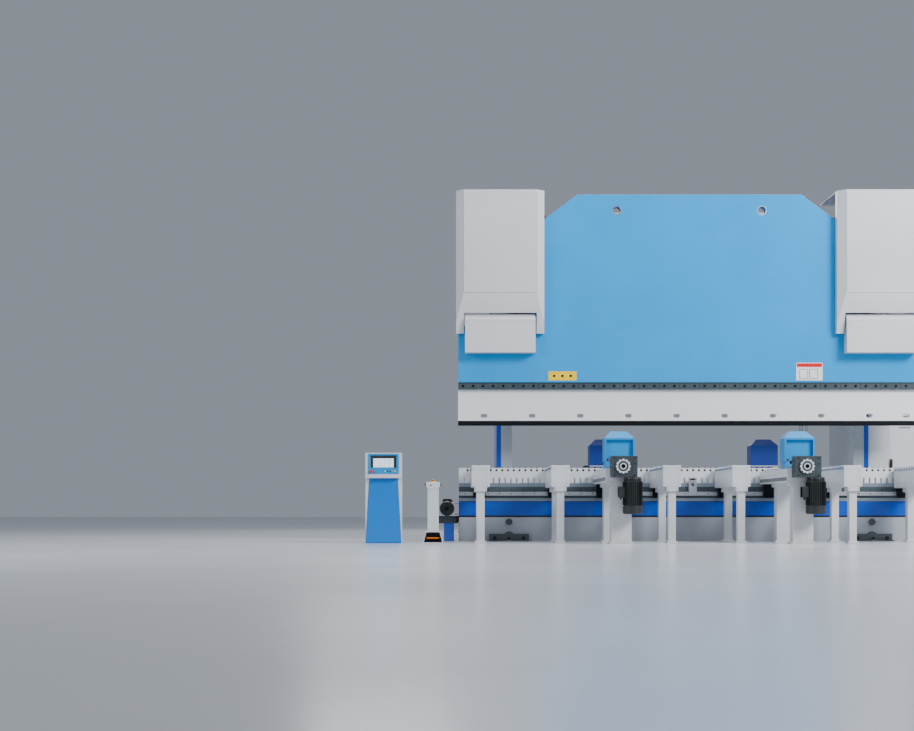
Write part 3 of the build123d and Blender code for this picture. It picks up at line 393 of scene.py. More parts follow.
    def cad(self, node, material, soften, segments):
        """The CAD node's own shape with its coplanar triangles merged and its edges rounded."""
        part = bmesh.new()
        part.from_mesh(frame["nodes"][node].data)
        bmesh.ops.remove_doubles(part, verts=part.verts, dist=1e-5)
        bmesh.ops.dissolve_limit(part, angle_limit=math.radians(0.5), verts=part.verts, edges=part.edges)
        bmesh.ops.recalc_face_normals(part, faces=part.faces)
        self.take(part, material, soften, segments, sharp=30)

    def done(self):
        data = bpy.data.meshes.new(self.name)
        self.mesh.normal_update()
        self.mesh.to_mesh(data)
        self.mesh.free()
        for material in self.materials:
            data.materials.append(material)
        data.shade_smooth()
        data.set_sharp_from_angle(angle=math.radians(38))
        made = bpy.data.objects.new(self.name, data)
        bpy.context.scene.collection.objects.link(made)
        weighted = made.modifiers.new("even_shading", "WEIGHTED_NORMAL")
        weighted.keep_sharp = True
        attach(made, self.body)
        if self.replaces:
            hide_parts(*self.replaces)
        return made


BODY_OF = {node: body for body, nodes in frame["record"]["behaviour"]["bodies"].items() for node in nodes}
SLOT_OF = {part["node"]: part["material_slot"] for part in frame["record"]["subparts"]}


def stand_for(node):
    """An empty piece that will replace a CAD node."""
    return Piece(f"{node}_shape", BODY_OF[node], SLOT_OF[node], (node,))


def shaped(node, material, soften=0.002, segments=2):
    """A piece that starts as its CAD node's own shape."""
    piece = stand_for(node)
    piece.cad(node, material, soften, segments)
    return piece


def spread(low, high, count):
    """Evenly spaced values from low to high."""
    return [low + (high - low) * i / (count - 1) for i in range(count)]


def circle(count, radius, shift=0.0):
    """Evenly spaced points on a circle, the first turned by part of a step."""
    turns = [2 * math.pi * (i + shift) / count for i in range(count)]
    return [(radius * math.cos(turn), radius * math.sin(turn)) for turn in turns]


# ---- plain carry-overs: the CAD shape with rounded edges and a finished material ----
CARRIED = {
    "side_frames": (DEEP, 0.004),
    "frame_columns": (COLUMN, 0.006),
    "top_cross_beam": (COLUMN, 0.004),
    "bed_beam": (SLATE, 0.003),
    "die_table": (TABLE, 0.002),
    "crowning_wedge": (GROUND, 0.001),
    "crowning_screw": (GROUND, 0.0005),
    "punch_nose": (BLACKED, 0.001),
    "pistons": (CHROME, 0.003),
    "arm_rails": (GROUND, 0.002),
    "arm_slide_blocks": (BLACKED, 0.003),
    "end_motor_post": (DEEP, 0.003),
    "cabinet_handle": (BLACK, 0.003),
    "hydraulic_pipes": (GROUND, 0.0),
}


def carry_over():
    for node, (material, soften) in CARRIED.items():
        shaped(node, material, soften).done()


def build_guides():
    piece = shaped("ram_guides", SLATE, 0.003)
    low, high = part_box("ram_guides")
    for side in SIDES:
        strip = (side * 1.9295, low.y, low.z + 0.01), (side * 2.0805, low.y + 0.02, high.z - 0.01)
        piece.box(*strip, BRONZE, 0.001)
        for z in spread(low.z + 0.06, high.z - 0.06, 5):
            for x in (2.2, FRAME_X):
                piece.bolt((side * x, 0.18, z), FRONT, 0.014)
    piece.done()


def build_dies():
    """The two die bars, each with a row of dark pegs in its pin holes and dark boxes in its top slots:
    painted shade in the holes and slots.
    """
    pins, pitch, pin_r, slot_half = 78, 0.075, 0.0149, 0.0125
    for node, facing in (("die_front", -1), ("die_rear", 1)):
        low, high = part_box(node)
        piece = shaped(node, DIE, 0.0015)
        out = (0, facing, 0)
        face = low.y if facing < 0 else high.y
        for i in range(pins):
            x = (i - (pins - 1) / 2) * pitch
            # dark peg deep in each pin hole and dark box in each slot: painted shade
            piece.peg((x, face - facing * 0.03, high.z - 0.032), out, 0.024, pin_r, DARK, 20, 0.001)
            slot_low = (x - slot_half, face - facing * 0.012, high.z - 0.0045)
            piece.box(slot_low, (x + slot_half, face + facing * 0.0004, high.z), DARK, 0)
        # dark peg in the hole at each end: painted shade in the hole
        for end in SIDES:
            pin = (end * 2.97, (low.y + high.y) / 2, low.z + 0.12)
            piece.peg(pin, (end, 0, 0), 0.0305, 0.017, DARK, 24, 0.001)
        piece.done()


# ---- ram, clamps, punch and covers ----
def build_ram():
    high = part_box("ram_plate")[1]
    front, rear = -0.06, 0.06
    piece = shaped("ram_plate", BLUE, 0.004)
    for side in SIDES:
        for face, axis in ((front, REAR), (rear, FRONT)):
            piece.ring((side * 0.944, face, 4.299), axis, 0.0608, 0.052, 0.006, ZINC, 48)
    # two plates without words: three dark diamonds, and a red band over two outlined squares
    plate_y = front - 0.003
    caution = (-1.836, -1.468, 2.087, 2.206)
    notice = (1.388, 1.732, 2.087, 2.318)
    for (x0, x1, z0, z1), material in ((caution, YELLOW), (notice, WHITE)):
        piece.box((x0, plate_y, z0), (x1, front, z1), material, 0.001)
    for x in (-1.76, -1.652, -1.544):
        piece.rod((x, front, 2.146), (x, plate_y - 0.0012, 2.146), 0.022, BLACKED, 4, 0)
    piece.box((1.396, plate_y - 0.001, 2.262), (1.724, front, 2.310), RED, 0.0005)
    for x in (1.43, 1.56):
        piece.box((x, plate_y - 0.001, 2.11), (x + 0.11, front, 2.235), DARK, 0.0005)
        piece.box((x + 0.006, plate_y - 0.002, 2.116), (x + 0.104, front, 2.229), WHITE, 0.0005)
    # stiffening ribs on the back
    for x in spread(-1.8, 1.8, 5):
        piece.box((x - 0.03, rear, 2.9), (x + 0.03, rear + 0.05, high.z - 0.3), BLUE, 0.004)
    for z in (2.25, 2.9):
        piece.box((-1.83, rear, z - 0.03), (1.83, rear + 0.05, z + 0.03), BLUE, 0.004)
    piece.done()


def build_clamps():
    piece = shaped("tool_clamps", SLATE, 0.003)
    low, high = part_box("tool_clamps")
    piece.box((low.x, low.y - 0.002, high.z - 0.012), (high.x, low.y + 0.01, high.z), DARK, 0.001)
    piece.done()
    bolts = stand_for("clamp_bolts")
    low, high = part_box("clamp_bolts")
    clamps, clamp_run = 23, 6.02
    pitch = clamp_run / clamps
    for i in range(clamps):
        for side in SIDES:
            x = (i - (clamps - 1) / 2 + side / 4) * pitch
            bolts.socket((x, low.y + 0.0101, (low.z + high.z) / 2), FRONT, 0.0148, 0.0099, BLACKED)
    bolts.done()


def build_punch():
    low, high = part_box("punch")
    piece = shaped("punch", PUNCH, 0.003)
    for x in spread(low.x, high.x, 8)[1:-1]:
        piece.box((x - 0.001, high.y - 0.002, low.z), (x + 0.001, high.y + 0.0006, high.z), BLACKED, 0)
    piece.done()


def build_hood(side):
    name = f"{NAMES[side]}_hood"
    low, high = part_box(name)
    piece = shaped(name, COVER, 0.003)
    middle = (low.x + high.x) / 2
    left, right = low.x + 0.1, high.x - 0.1
    # folded cap over the top, and the fold lines of the front sheet drawn as thin dark strips: painted shade
    # in the folds
    piece.box((left + 0.004, low.y, high.z - 0.004), (right - 0.004, low.y + 0.12, high.z), COVER, 0.001)
    for x in (left, right):
        piece.rod((x, low.y + 0.0022, 3.21), (x, low.y + 0.0022, high.z - 0.03), 0.002, DARK, 8, 0)
    piece.box((left + 0.006, low.y - 0.0002, 3.2005), (right - 0.006, low.y + 0.004, 3.2035), DARK, 0)
    # vents and screws in the outer wall, screws in the front and a vent in the top
    outer = low.x if side < 0 else high.x
    for z in spread(3.35, 3.65, 9):
        piece.box((outer - side * 0.004, 0.18, z), (outer, 0.46, z + 0.012), DARK, 0.001)
    for z in (2.95, 3.5, 4.05, 4.48):
        for y in (-0.1, 0.28, 0.66):
            piece.sunk((outer, y, z), (side, 0, 0), 0.008)
    for x in (left + 0.05, right - 0.05):
        for z in (3.26, 3.85, 4.46):
            piece.sunk((x, low.y, z), FRONT, 0.007)
    piece.box((middle - 0.3, 0.2, high.z - 0.006), (middle + 0.3, 0.5, high.z), DARK, 0.001)
    piece.done()


def build_ram_covers():
    piece = shaped("ram_covers", COVER, 0.003)
    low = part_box("ram_covers")[0]
    half_width = 0.455
    for side in SIDES:
        x0, x1 = [side * FRAME_X + end * half_width for end in SIDES]
        for x in (x0 + 0.03, x1 - 0.03):
            for z in (low.z + 0.04, low.z + 0.38):
                piece.sunk((x, low.y, z), FRONT, 0.007)
        piece.box((x0 + 0.01, low.y, 2.853), (x1 - 0.01, low.y + 0.004, 2.856), DARK, 0)
    piece.done()


# ---- hydraulics ----
def pipe_height(level):
    """Height at which an oil pipe leaves the valve blocks."""
    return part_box("valve_blocks")[1].z - 0.065 - 0.11 * level


def build_cylinders():
    piece = shaped("cylinders", SLATE, 0.004)
    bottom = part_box("cylinders")[0].z
    for side in SIDES:
        x = side * FRAME_X
        for dx, dy in circle(16, 0.185):
            if dy < 0.12:
                piece.bolt((x + dx, dy, bottom), DOWN, 0.014)
        piece.ring((x, 0, bottom - 0.012), UP, 0.162, 0.1405, 0.012, ZINC, 48)
        for z in (3.3, 3.7, 4.0):
            for end in SIDES:
                piece.bolt((x + end * 0.215, 0.24, z), (end, 0, 0), 0.016)
    piece.done()


def build_valves():
    """Valve blocks with a solenoid at each end of two spools, and their pipe unions."""
    valves = shaped("valve_blocks", GROUND, 0.004)
    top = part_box("valve_blocks")[1].z
    for side in SIDES:
        x = side * FRAME_X
        for y in (-0.08, 0.08):
            for end in SIDES:
                valves.peg((x + end * 0.16, y, top - 0.09), (end, 0, 0), 0.05, 0.032, SLATE, 24)
                coil_low = (x + end * 0.21, y - 0.03, top - 0.12)
                valves.box(coil_low, (x + end * 0.29, y + 0.03, top - 0.06), BLACK, 0.006)
        for level in range(2):
            union_x = side * (FRAME_X - 0.06 + level * 0.12)
            valves.peg((union_x, 0.16, pipe_height(level)), REAR, 0.04, 0.036, ZINC, 6)
    valves.done()


def build_tank():
    low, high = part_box("oil_tank")
    piece = shaped("oil_tank", COLUMN, 0.006)
    rear = high.y
    for x in (-0.95, 0.95):
        piece.box((x - 0.25, rear, low.z + 0.12), (x + 0.25, rear + 0.012, low.z + 0.55), COLUMN, 0.004)
        for dx in spread(-0.22, 0.22, 5):
            for z in (low.z + 0.145, low.z + 0.525):
                piece.bolt((x + dx, rear + 0.012, z), REAR, 0.009)
    for x in spread(low.x + 0.1, high.x - 0.1, 9):
        piece.box((x - 0.004, low.y - 0.006, low.z + 0.02), (x + 0.004, low.y, high.z - 0.02), COLUMN, 0.001)
    # level gauge between two fittings, breather and filler cap
    gauge_x, cap_x, cap_y = 0.55, -0.2, low.y + 0.35
    for z in (low.z + 0.3, low.z + 0.64):
        piece.peg((gauge_x, rear, z), REAR, 0.03, 0.02, ZINC, 20)
    piece.peg((gauge_x, rear + 0.018, low.z + 0.32), UP, 0.3, 0.012, WHITE, 16)
    piece.peg((-0.5, cap_y, high.z), UP, 0.055, 0.05, BLACK)
    piece.peg((cap_x, cap_y, high.z), UP, 0.09, 0.07, BRIGHT)
    piece.ring((cap_x, cap_y, high.z), UP, 0.1, 0.07, 0.012, ZINC, 32)
    piece.done()


def build_pipes():
    """Hex unions at the ends of the steel pipes, and the clips behind them."""
    piece = Piece("pipe_unions", "root", "machined_steel")
    for side in SIDES:
        out = (side, 0, 0)
        for level in range(2):
            x, y, z = side * 1.4, 0.712 + 0.11 * level, pipe_height(level)
            piece.peg((x, y, z), out, 0.045, 0.038, ZINC, 6)
            piece.peg((x + side * 0.045, y, z), out, 0.015, 0.031, ZINC, 24)
            clip_low = (x + side * 0.42, y - 0.05, z - 0.045)
            piece.box(clip_low, (x + side * 0.47, y + 0.05, z + 0.045), BLACK, 0.006)
    piece.done()


def motor_shape(piece, start, axis, radius, length, fins, flange=None):
    """A finned, fan-cooled motor from its mounting flange to its fan cover."""
    start, axis = Vector(start), Vector(axis)
    inner = radius * 0.88
    flange = flange or radius
    foot = [(0, 0), (flange, 0), (flange, 0.018), (inner, 0.024), (inner, length * 0.1)]
    piece.lathe(start, axis, foot, MOTOR, 40)
    piece.rod(start + axis * 0.02, start + axis * length * 0.8, inner, MOTOR, 40)
    across = axis.orthogonal().normalized()
    size = Vector((radius - inner + 0.004, 0.0045, length * 0.64))
    for i in range(fins):
        out = Matrix.Rotation(2 * math.pi * i / fins, 3, axis) @ across
        part = bmesh.new()
        bmesh.ops.create_cube(part, size=1)
        centre = start + axis * (length * 0.44) + out * (inner + (radius - inner) / 2 - 0.002)
        rows = Matrix((out, axis.cross(out), axis)).transposed().to_4x4()
        for v in part.verts:
            v.co = Vector((v.co.x * size.x, v.co.y * size.y, v.co.z * size.z))
        bmesh.ops.transform(part, matrix=Matrix.Translation(centre) @ rows, verts=part.verts)
        piece.take(part, MOTOR, 0.0015, 1)
    # fan cover with a recessed, ringed grille
    cover = start + axis * length * 0.78
    deep, rim = length * 0.22, radius * 0.99
    shell = [(rim, 0), (rim, deep * 0.8), (radius * 0.9, deep), (radius * 0.3, deep)]
    shell += [(radius * 0.3, deep - 0.004), (radius * 0.88, deep - 0.004)]
    shell += [(radius * 0.96, deep * 0.78), (radius * 0.96, 0), (rim, 0)]
    piece.lathe(cover, axis, shell, MOTOR, 40)
    for k in range(1, 5):
        r = radius * (0.3 + 0.12 * k)
        piece.ring(cover + axis * (deep - 0.002), axis, r + 0.003, r, 0.002, MOTOR, 40, 0.0005)
    for i in range(4):
        out = Matrix.Rotation(math.pi * (0.25 + 0.5 * i), 3, axis) @ across
        piece.bolt(start + out * (flange * 0.9) + axis * 0.018, axis, 0.007, washer=False)


def terminal_box(piece, low, high, inset, soften):
    """A motor's terminal box with a smaller lid on top."""
    lid, lip = 0.002, 0.006
    piece.box(low, (high[0], high[1], high[2] - lid), MOTOR, soften)
    lid_low = (low[0] + inset, low[1] + inset, high[2] - lip)
    piece.box(lid_low, (high[0] - inset, high[1] - inset, high[2]), MOTOR, lid)


def build_drive_units():
    """Worm gear units and hanging motors of the two feeders and the two gauge axes."""
    mlow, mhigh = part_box("drive_motors")
    gears = shaped("worm_gearboxes", GEAR, 0.006)
    motors = stand_for("drive_motors")
    for facing in SIDES:
        out = (0, facing, 0)
        face = facing * 1.867
        box_face = face - facing * 0.018
        for side in SIDES:
            x = side * UNIT_X
            # output flange, bolts and hollow shaft
            gears.ring((x, box_face, SCREW_Z), out, 0.086, 0.062, 0.021, COVER, 56)
            gears.ring((x, box_face, SCREW_Z), out, 0.038, 0.0262, 0.021, COVER)
            for dx, dz in circle(12, 0.0805, 0.5):
                gears.socket((x + dx, face + facing * 0.0026, SCREW_Z + dz), out, 0.0075, 0.003, BLACKED)
            # cover bolts, the parting line of the casting, a plug and three ribs
            for dx in (-0.1, 0.135):
                for dz in (-0.105, 0.098):
                    gears.bolt((x + dx, box_face, SCREW_Z + dz), out, 0.009, BLACKED, washer=False)
            gears.box((x + 0.1035, box_face, 0.79), (x + 0.1065, box_face + facing * 0.0012, 1.033), DARK, 0)
            gears.peg((x + 0.14, box_face, SCREW_Z + 0.03), out, 0.008, 0.008, BLACKED, 6)
            for z in (SCREW_Z - 0.06, SCREW_Z, SCREW_Z + 0.06):
                rib_low = (x - 0.135, box_face - facing * 0.03, z - 0.005)
                gears.box(rib_low, (x - 0.1345, box_face - facing * 0.12, z + 0.005), GEAR, 0)
            # motor hanging beside the shaft, its terminal box and cable gland
            mx, my = x + 0.118, facing * (ARM_END + 0.126)
            motor_shape(motors, (mx, my, mhigh.z), DOWN, 0.118, mhigh.z - mlow.z, 30, 0.1)
            left, bottom, top = mx - 0.170, 0.548, 0.677
            motors.box((left, my - 0.06, bottom), (mx - 0.07, my + 0.06, top), MOTOR, 0.006)
            lid_high = (left + 0.001, my + 0.038, top - 0.008)
            motors.box((left, my - 0.038, bottom + 0.008), lid_high, MOTOR, 0.001)
            motors.peg((left + 0.03, my, bottom), DOWN, 0.016, 0.013, BLACK, 6)
            motors.peg((left + 0.03, my, bottom - 0.014), DOWN, 0.012, 0.009, BLACK, 20)
            for dy in (-0.034, 0.034):
                for z in (bottom + 0.01, top - 0.01):
                    motors.socket((left + 0.001, my + dy, z), (-1, 0, 0), 0.005, 0.001, ZINC)
    gears.done()
    motors.done()


def build_pump_motor():
    low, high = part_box("pump_motor")
    piece = stand_for("pump_motor")
    z = 3.91
    piece.peg((0, low.y, z), REAR, 0.07, 0.126, SLATE, 48)
    motor_shape(piece, (0, low.y + 0.06, z), REAR, 0.18, high.y - low.y - 0.06, 36)
    terminal_box(piece, (-0.088, low.y + 0.18, z + 0.14), (0.088, low.y + 0.34, high.z), 0.006, 0.008)
    piece.done()


# ---- bed front, feet, end drive ----
def build_bed_front():
    apron = shaped("bed_apron", APRON, 0.003)
    apron_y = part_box("bed_apron")[0].y
    face, port_z = -0.13, 0.247
    for side in SIDES:
        x = side * FOOT_X
        apron.ring((x, apron_y, port_z), REAR, 0.0515, 0.0435, 0.006, ZINC, 48)
        apron.peg((x, face + 0.02, port_z), FRONT, 0.015, 0.042, SLATE, 40)
        for dx, dz in circle(6, 0.062):
            apron.socket((x + dx, face, port_z + dz), FRONT, 0.006, 0.004, ZINC)
    apron.done()
    plate = shaped("bed_face_plate", DEEP, 0.003)
    low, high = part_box("bed_face_plate")
    # dark strip along the foot of the blue band: painted shadow where the band stands out over the apron
    plate.box((low.x, low.y - 0.0006, low.z), (high.x, low.y + 0.002, low.z + 0.006), DARK, 0)
    plate.done()
    trim = Piece("bed_trim", "root", "slate_steel")
    half, rail_y, lip_y = 3.0, -0.1345, -0.1515
    trim.box((-half, rail_y, 0.516), (half, -0.1303, 0.556), TABLE, 0.001)
    trim.box((-half, lip_y, 0.646), (half, -0.1503, 0.672), SLATE, 0.0004)
    for x in spread(-2.92, 2.92, 40):
        trim.socket((x, rail_y, 0.536), FRONT, 0.006, 0.004, ZINC)
        trim.socket((x, lip_y, 0.659), FRONT, 0.0065, 0.004, BLACKED)
        trim.socket((x, -0.17, 0.612), FRONT, 0.007, 0.003, BLACKED)
    bed_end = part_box("bed_beam")[1].x
    for end in SIDES:
        for z in (0.12, 0.24, 0.36, 0.48, 0.6):
            for y in (-0.065, 0.065):
                trim.bolt((end * bed_end, y, z), (end, 0, 0), 0.012)
    trim.done()


def build_anchors():
    piece = shaped("anchor_plates", SLATE, 0.003)
    for side in SIDES:
        x = side * FOOT_X
        for y in (-0.205, 0.165):
            piece.ring((x, y, 0.012), UP, 0.03, 0.0155, 0.004, ZINC, 28)
            piece.bolt((x, y, 0.0155), UP, 0.022, BLACKED, washer=False)
            piece.peg((x, y, 0.03), UP, 0.022, 0.0145, BLACKED, 20, 0.001)
        # dark disc over each of the plate's two holes: painted shade in the holes
        for end in SIDES:
            piece.peg((x + end * 0.188, -0.1605, 0.04), REAR, 0.0035, 0.0255, DARK, 32, 0.0005)
    piece.done()


def build_end_drive():
    block = shaped("end_gearbox", GEAR, 0.005)
    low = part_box("end_gearbox")[0]
    for x in (low.x + 0.02, -3.06):
        for z in (low.z + 0.02, 0.305):
            block.bolt((x, low.y, z), FRONT, 0.009, BLACKED, washer=False)
    block.done()
    motor = stand_for("end_motor")
    low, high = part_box("end_motor")
    x = (low.x + high.x) / 2
    motor_shape(motor, (x, high.y, 0.42), FRONT, 0.095, high.y - low.y, 26)
    terminal_box(motor, (x - 0.054, -0.279, 0.47), (x + 0.054, -0.151, high.z), 0.004, 0.006)
    motor.peg((x + 0.054, -0.215, 0.52), (1, 0, 0), 0.018, 0.012, BLACK, 6)
    motor.done()
    ties = Piece("end_drive_ties", "root", "machined_steel")
    for z in (0.351, 0.487):
        ties.box((-3.05, -0.1, z - 0.012), (-3.0, -0.03, z + 0.012), GROUND, 0.002)
        ties.bolt((-3.03, -0.1, z), FRONT, 0.008)
    ties.done()


# ---- sheet supports ----
def build_supports():
    piece = shaped("support_arms", ARM, 0.004)
    low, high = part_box("support_arms")
    front, top, bottom = low.y, high.z, 0.684
    lines = [side * x for side in SIDES for x in (2.736, 1.772, 0.42)]
    for x in lines:
        # end cap with a raised rim and four screws
        for dx in SIDES:
            rim_low = (x + dx * 0.104, front, bottom + 0.012)
            piece.box(rim_low, (x + dx * 0.1, front - 0.003, top - 0.012), ARM, 0.001)
            for z in (bottom + 0.03, top - 0.03):
                piece.socket((x + dx * 0.085, front, z), FRONT, 0.006, 0.004, ZINC)
        for z in (bottom + 0.012, top - 0.016):
            piece.box((x - 0.1, front - 0.003, z), (x + 0.1, front, z + 0.004), ARM, 0.001)
        # bolts and joint line of each leg
        for leg_y in (-1.26, -0.47):
            for dx in SIDES:
                for dy in SIDES:
                    piece.bolt((x + dx * 0.056, leg_y + dy * 0.056, 0.02), UP, 0.006)
                piece.bolt((x + dx * 0.055, leg_y - 0.0725, 0.656), FRONT, 0.007)
            piece.box((x - 0.0725, leg_y - 0.073, 0.6825), (x + 0.0725, leg_y + 0.0725, 0.6838), DARK, 0)
        # dark strip along the middle of the top, with its screws
        piece.box((x - 0.045, front + 0.03, top - 0.0005), (x + 0.045, -0.2, top + 0.0005), SLATE, 0)
        for y in spread(front + 0.12, -0.3, 7):
            piece.socket((x, y, top), UP, 0.007, 0.003, ZINC)
    piece.done()
    balls = stand_for("ball_units")
    low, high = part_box("ball_units")
    ball_r, seat_top, rise = 0.0092, 0.0022, 0.0038
    dome = [(0, 0.0005), (ball_r, 0.0005)]
    dome += [(ball_r * math.cos(a), seat_top + rise * math.sin(a)) for a in spread(0, math.pi / 2, 5)]
    for x in lines:
        for dx in SIDES:
            for y in spread(low.y + 0.017, high.y - 0.017, 12):
                seat = (x + dx * 0.086, y, low.z)
                balls.ring(seat, UP, 0.0168, 0.0085, seat_top, BLACKED, 20, 0.0005)
                balls.lathe(seat, UP, dome, BALL, 16)
    balls.done()
    rollers = Piece("edge_rollers", "root", "polished_steel")
    for x in lines:
        for dx in SIDES:
            for y in spread(-1.25, -0.24, 12):
                rollers.peg((x + dx * 0.11, y, top - 0.03), (dx, 0, 0), 0.012, 0.016, BALL, 20)
                pin = (x + dx * 0.122, y, top - 0.03)
                rollers.peg(pin, (dx, 0, 0), 0.003, 0.006, BLACKED, 12, 0.0005)
    rollers.done()


def build_drive_arms(facing, node):
    """Rails, strips and bolts of the two feeder arms or the two gauge arms."""
    piece = shaped(node, ARM, 0.004)
    half, near, far = 0.1875, facing * 0.19, facing * ARM_END
    for side in SIDES:
        x = side * UNIT_X
        for dx in SIDES:
            edge, rail = x + dx * half, x + dx * 0.13
            piece.box((edge, facing * 0.2, 0.75), (edge + dx * 0.0004, facing * 1.64, 0.795), SLATE, 0)
            for d in spread(0.3, 1.6, 6):
                piece.bolt((edge, facing * d, 0.84), (dx, 0, 0), 0.009)
            for d in spread(0.24, 1.62, 14):
                piece.socket((rail, facing * d, 0.916), UP, 0.0065, 0.0015, BLACKED)
            for d in (1.642, 1.542, 0.818, 0.718):
                piece.bolt((x + dx * 0.133, facing * d, 0.02), UP, 0.008)
                piece.bolt((x + dx * 0.138, facing * d, 0.687), DOWN, 0.008)
            # steel running face over the rail
            piece.box((rail - 0.0142, near, 0.898), (rail + 0.0142, far, 0.9162), GROUND, 0.001)
        piece.box((x - half, far - facing * 0.003, 0.7345), (x + half, far, 0.7365), DARK, 0)
        piece.box((x - 0.035, facing * 0.235, 0.894), (x + 0.035, facing * 1.66, 0.8945), SLATE, 0)
    piece.done()


def screw_shape(piece, x, start, end, radius):
    """A threaded bar: rows of rings whose radius follows one helix."""
    pitch, depth, sides = 0.010, 0.0024, 18
    rows = int(abs(end - start) / pitch * 4)
    part = bmesh.new()
    rings = []
    for row in range(rows + 1):
        along = (end - start) * row / rows
        ring = []
        for i in range(sides):
            turn = 2 * math.pi * i / sides
            phase = (abs(along) / pitch - i / sides) % 1
            r = radius - depth * (0.5 + 0.5 * math.cos(2 * math.pi * phase))
            place = (x + r * math.cos(turn), start + along, SCREW_Z + r * math.sin(turn))
            ring.append(part.verts.new(place))
        rings.append(ring)
    for near, far in zip(rings, rings[1:]):
        for i in range(sides):
            j = (i + 1) % sides
            part.faces.new((near[i], near[j], far[j], far[i]))
    part.faces.new(list(reversed(rings[0])))
    part.faces.new(rings[-1])
    bmesh.ops.recalc_face_normals(part, faces=part.faces)
    piece.take(part, GROUND)


def build_screw(node, side, facing):
    """One threaded bar, its plain ends and the keyed journal in the gear unit."""
    low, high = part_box(node)
    piece = stand_for(node)
    x, out, bar_r = side * UNIT_X, (0, facing, 0), 0.0158
    near, far = facing * 0.19, facing * ARM_END
    end = low.y if facing < 0 else high.y
    piece.peg((x, near, SCREW_Z), out, 0.05, 0.0155, GROUND, 28)
    screw_shape(piece, x, near + facing * 0.05, far - facing * 0.01, bar_r)
    piece.peg((x, far - facing * 0.01, SCREW_Z), out, 0.02, bar_r, GROUND, 28)
    piece.rod((x, far + facing * 0.001, SCREW_Z), (x, end, SCREW_Z), 0.0229, BLACKED, 36)
    piece.box((x - 0.004, end - facing * 0.01, 0.93), (x + 0.004, end, 0.9385), GROUND, 0.001)
    piece.done()


def build_carriage(node, side, hood_paint, recessed):
    """Shoes on the rails and the hooded head of one feeder or gauge carriage."""
    low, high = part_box(node)
    x, face, back = side * UNIT_X, low.y, high.y
    piece = shaped(node, hood_paint, 0.004)
    inner, base, lintel = 0.158, 0.985, 1.241
    if recessed:
        piece.box((x - inner, face + 0.0385, base), (x + inner, face + 0.0405, lintel), BLUE, 0)
        for dx in SIDES:
            jamb = (x + dx * (inner - 0.001), face + 0.001, base)
            piece.box(jamb, (x + dx * (inner + 0.0005), face + 0.04, lintel), DEEP, 0)
        piece.box((x - 0.12, face - 0.001, 0.955), (x + 0.05, face + 0.03, 0.99), BLACKED, 0.003)
    else:
        lip_low = (x - 0.178, face - 0.001, base - 0.002)
        piece.box(lip_low, (x + 0.178, face + 0.004, base + 0.009), COVER, 0.001)
        for lug in (x - 0.1, x + 0.1):
            piece.box((lug - 0.02, face - 0.004, 0.955), (lug + 0.02, face + 0.02, 0.975), BLACKED, 0.002)
    for dx in SIDES:
        for d in (0.03, 0.22):
            piece.bolt((x + dx * 0.166, face + d, 0.945), (dx, 0, 0), 0.006)
    # mounting plate and drive box inside the open back
    piece.box((x - 0.12, back - 0.09, 0.9855), (x + 0.12, back - 0.03, 1.17), SLATE, 0.006)
    piece.peg((x - 0.06, back - 0.03, 1.08), REAR, 0.018, 0.022, ZINC, 28)
    piece.peg((x + 0.05, back - 0.03, 1.08), REAR, 0.02, 0.014, BLACK, 20)
    piece.done()
    if recessed:
        lead = Piece(f"{node}_lead", BODY_OF[node], SLOT_OF[node])
        lead.rod((x - 0.135, face + 0.025, 0.99), (x - 0.132, face + 0.024, 1.02), 0.011, BROWN, 14)
        lead.done()


def build_locator():
    piece = shaped("centre_locator", GROUND, 0.002)
    low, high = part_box("centre_locator")
    piece.ring((0.022, low.y, 0.73), REAR, 0.0199, 0.016, 0.006, BLACKED, 32)
    for x in (low.x + 0.018, high.x - 0.018):
        for z in (low.z + 0.02, low.z + 0.06):
            piece.bolt((x, low.y, z), FRONT, 0.007)
    bar_low = (low.x + 0.02, low.y - 0.004, high.z - 0.03)
    piece.box(bar_low, (high.x - 0.02, low.y, high.z - 0.012), BLACKED, 0.001)
    piece.done()


# ---- cabinet, pedestal and stand ----
def build_cabinet():
    piece = shaped("electrical_cabinet", COVER, 0.004)
    low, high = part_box("electrical_cabinet")
    left, right, front, rear = low.x, CABINET_RIGHT, CABINET_FRONT, high.y
    for z in spread(0.45, 0.75, 9):
        piece.box((right - 0.0005, front + 0.15, z), (right + 0.0005, rear - 0.12, z + 0.012), DARK, 0)
        piece.box((left + 0.06, front - 0.0006, z), (left + 0.21, front + 0.001, z + 0.012), DARK, 0)
    piece.box((left + 0.04, front + 0.06, 0.0), (right - 0.04, front + 0.064, 0.1), SLATE, 0)
    for x in (left + 0.08, right - 0.08):
        for y in (front + 0.08, rear - 0.08):
            piece.ring((x, y, high.z - 0.001), UP, 0.018, 0.008, 0.001, ZINC, 20)
    # back plate with breakers, seen when the door is open
    back = rear - 0.021
    piece.box((left + 0.05, back - 0.004, 0.2), (right - 0.05, back, 1.9), ZINC, 0.002)
    for material, z in ((WHITE, 0.45), (BLACK, 0.8), (WHITE, 1.15), (BLACK, 1.5)):
        piece.box((left + 0.08, back - 0.02, z - 0.02), (right - 0.08, back - 0.004, z + 0.02), ZINC, 0.001)
        for x in spread(left + 0.1, left + 0.5, 9):
            piece.box((x, back - 0.09, z - 0.045), (x + 0.042, back - 0.02, z + 0.045), material, 0.003)
            piece.box((x + 0.015, back - 0.098, z - 0.01), (x + 0.027, back - 0.09, z + 0.012), SLATE, 0.001)
        piece.box((left + 0.06, back - 0.06, z + 0.12), (right - 0.06, back - 0.004, z + 0.17), COLUMN, 0.003)
    piece.done()
    door = shaped("cabinet_door", COVER, 0.004)
    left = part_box("cabinet_door")[0].x
    for z in spread(1.5, 1.8, 9):
        door.box((left + 0.14, front - 0.0006, z), (right - 0.1, front + 0.001, z + 0.012), DARK, 0)
    door.box((left + 0.018, front - 0.003, 0.93), (left + 0.058, front, 1.085), BLACK, 0.002)
    door.done()


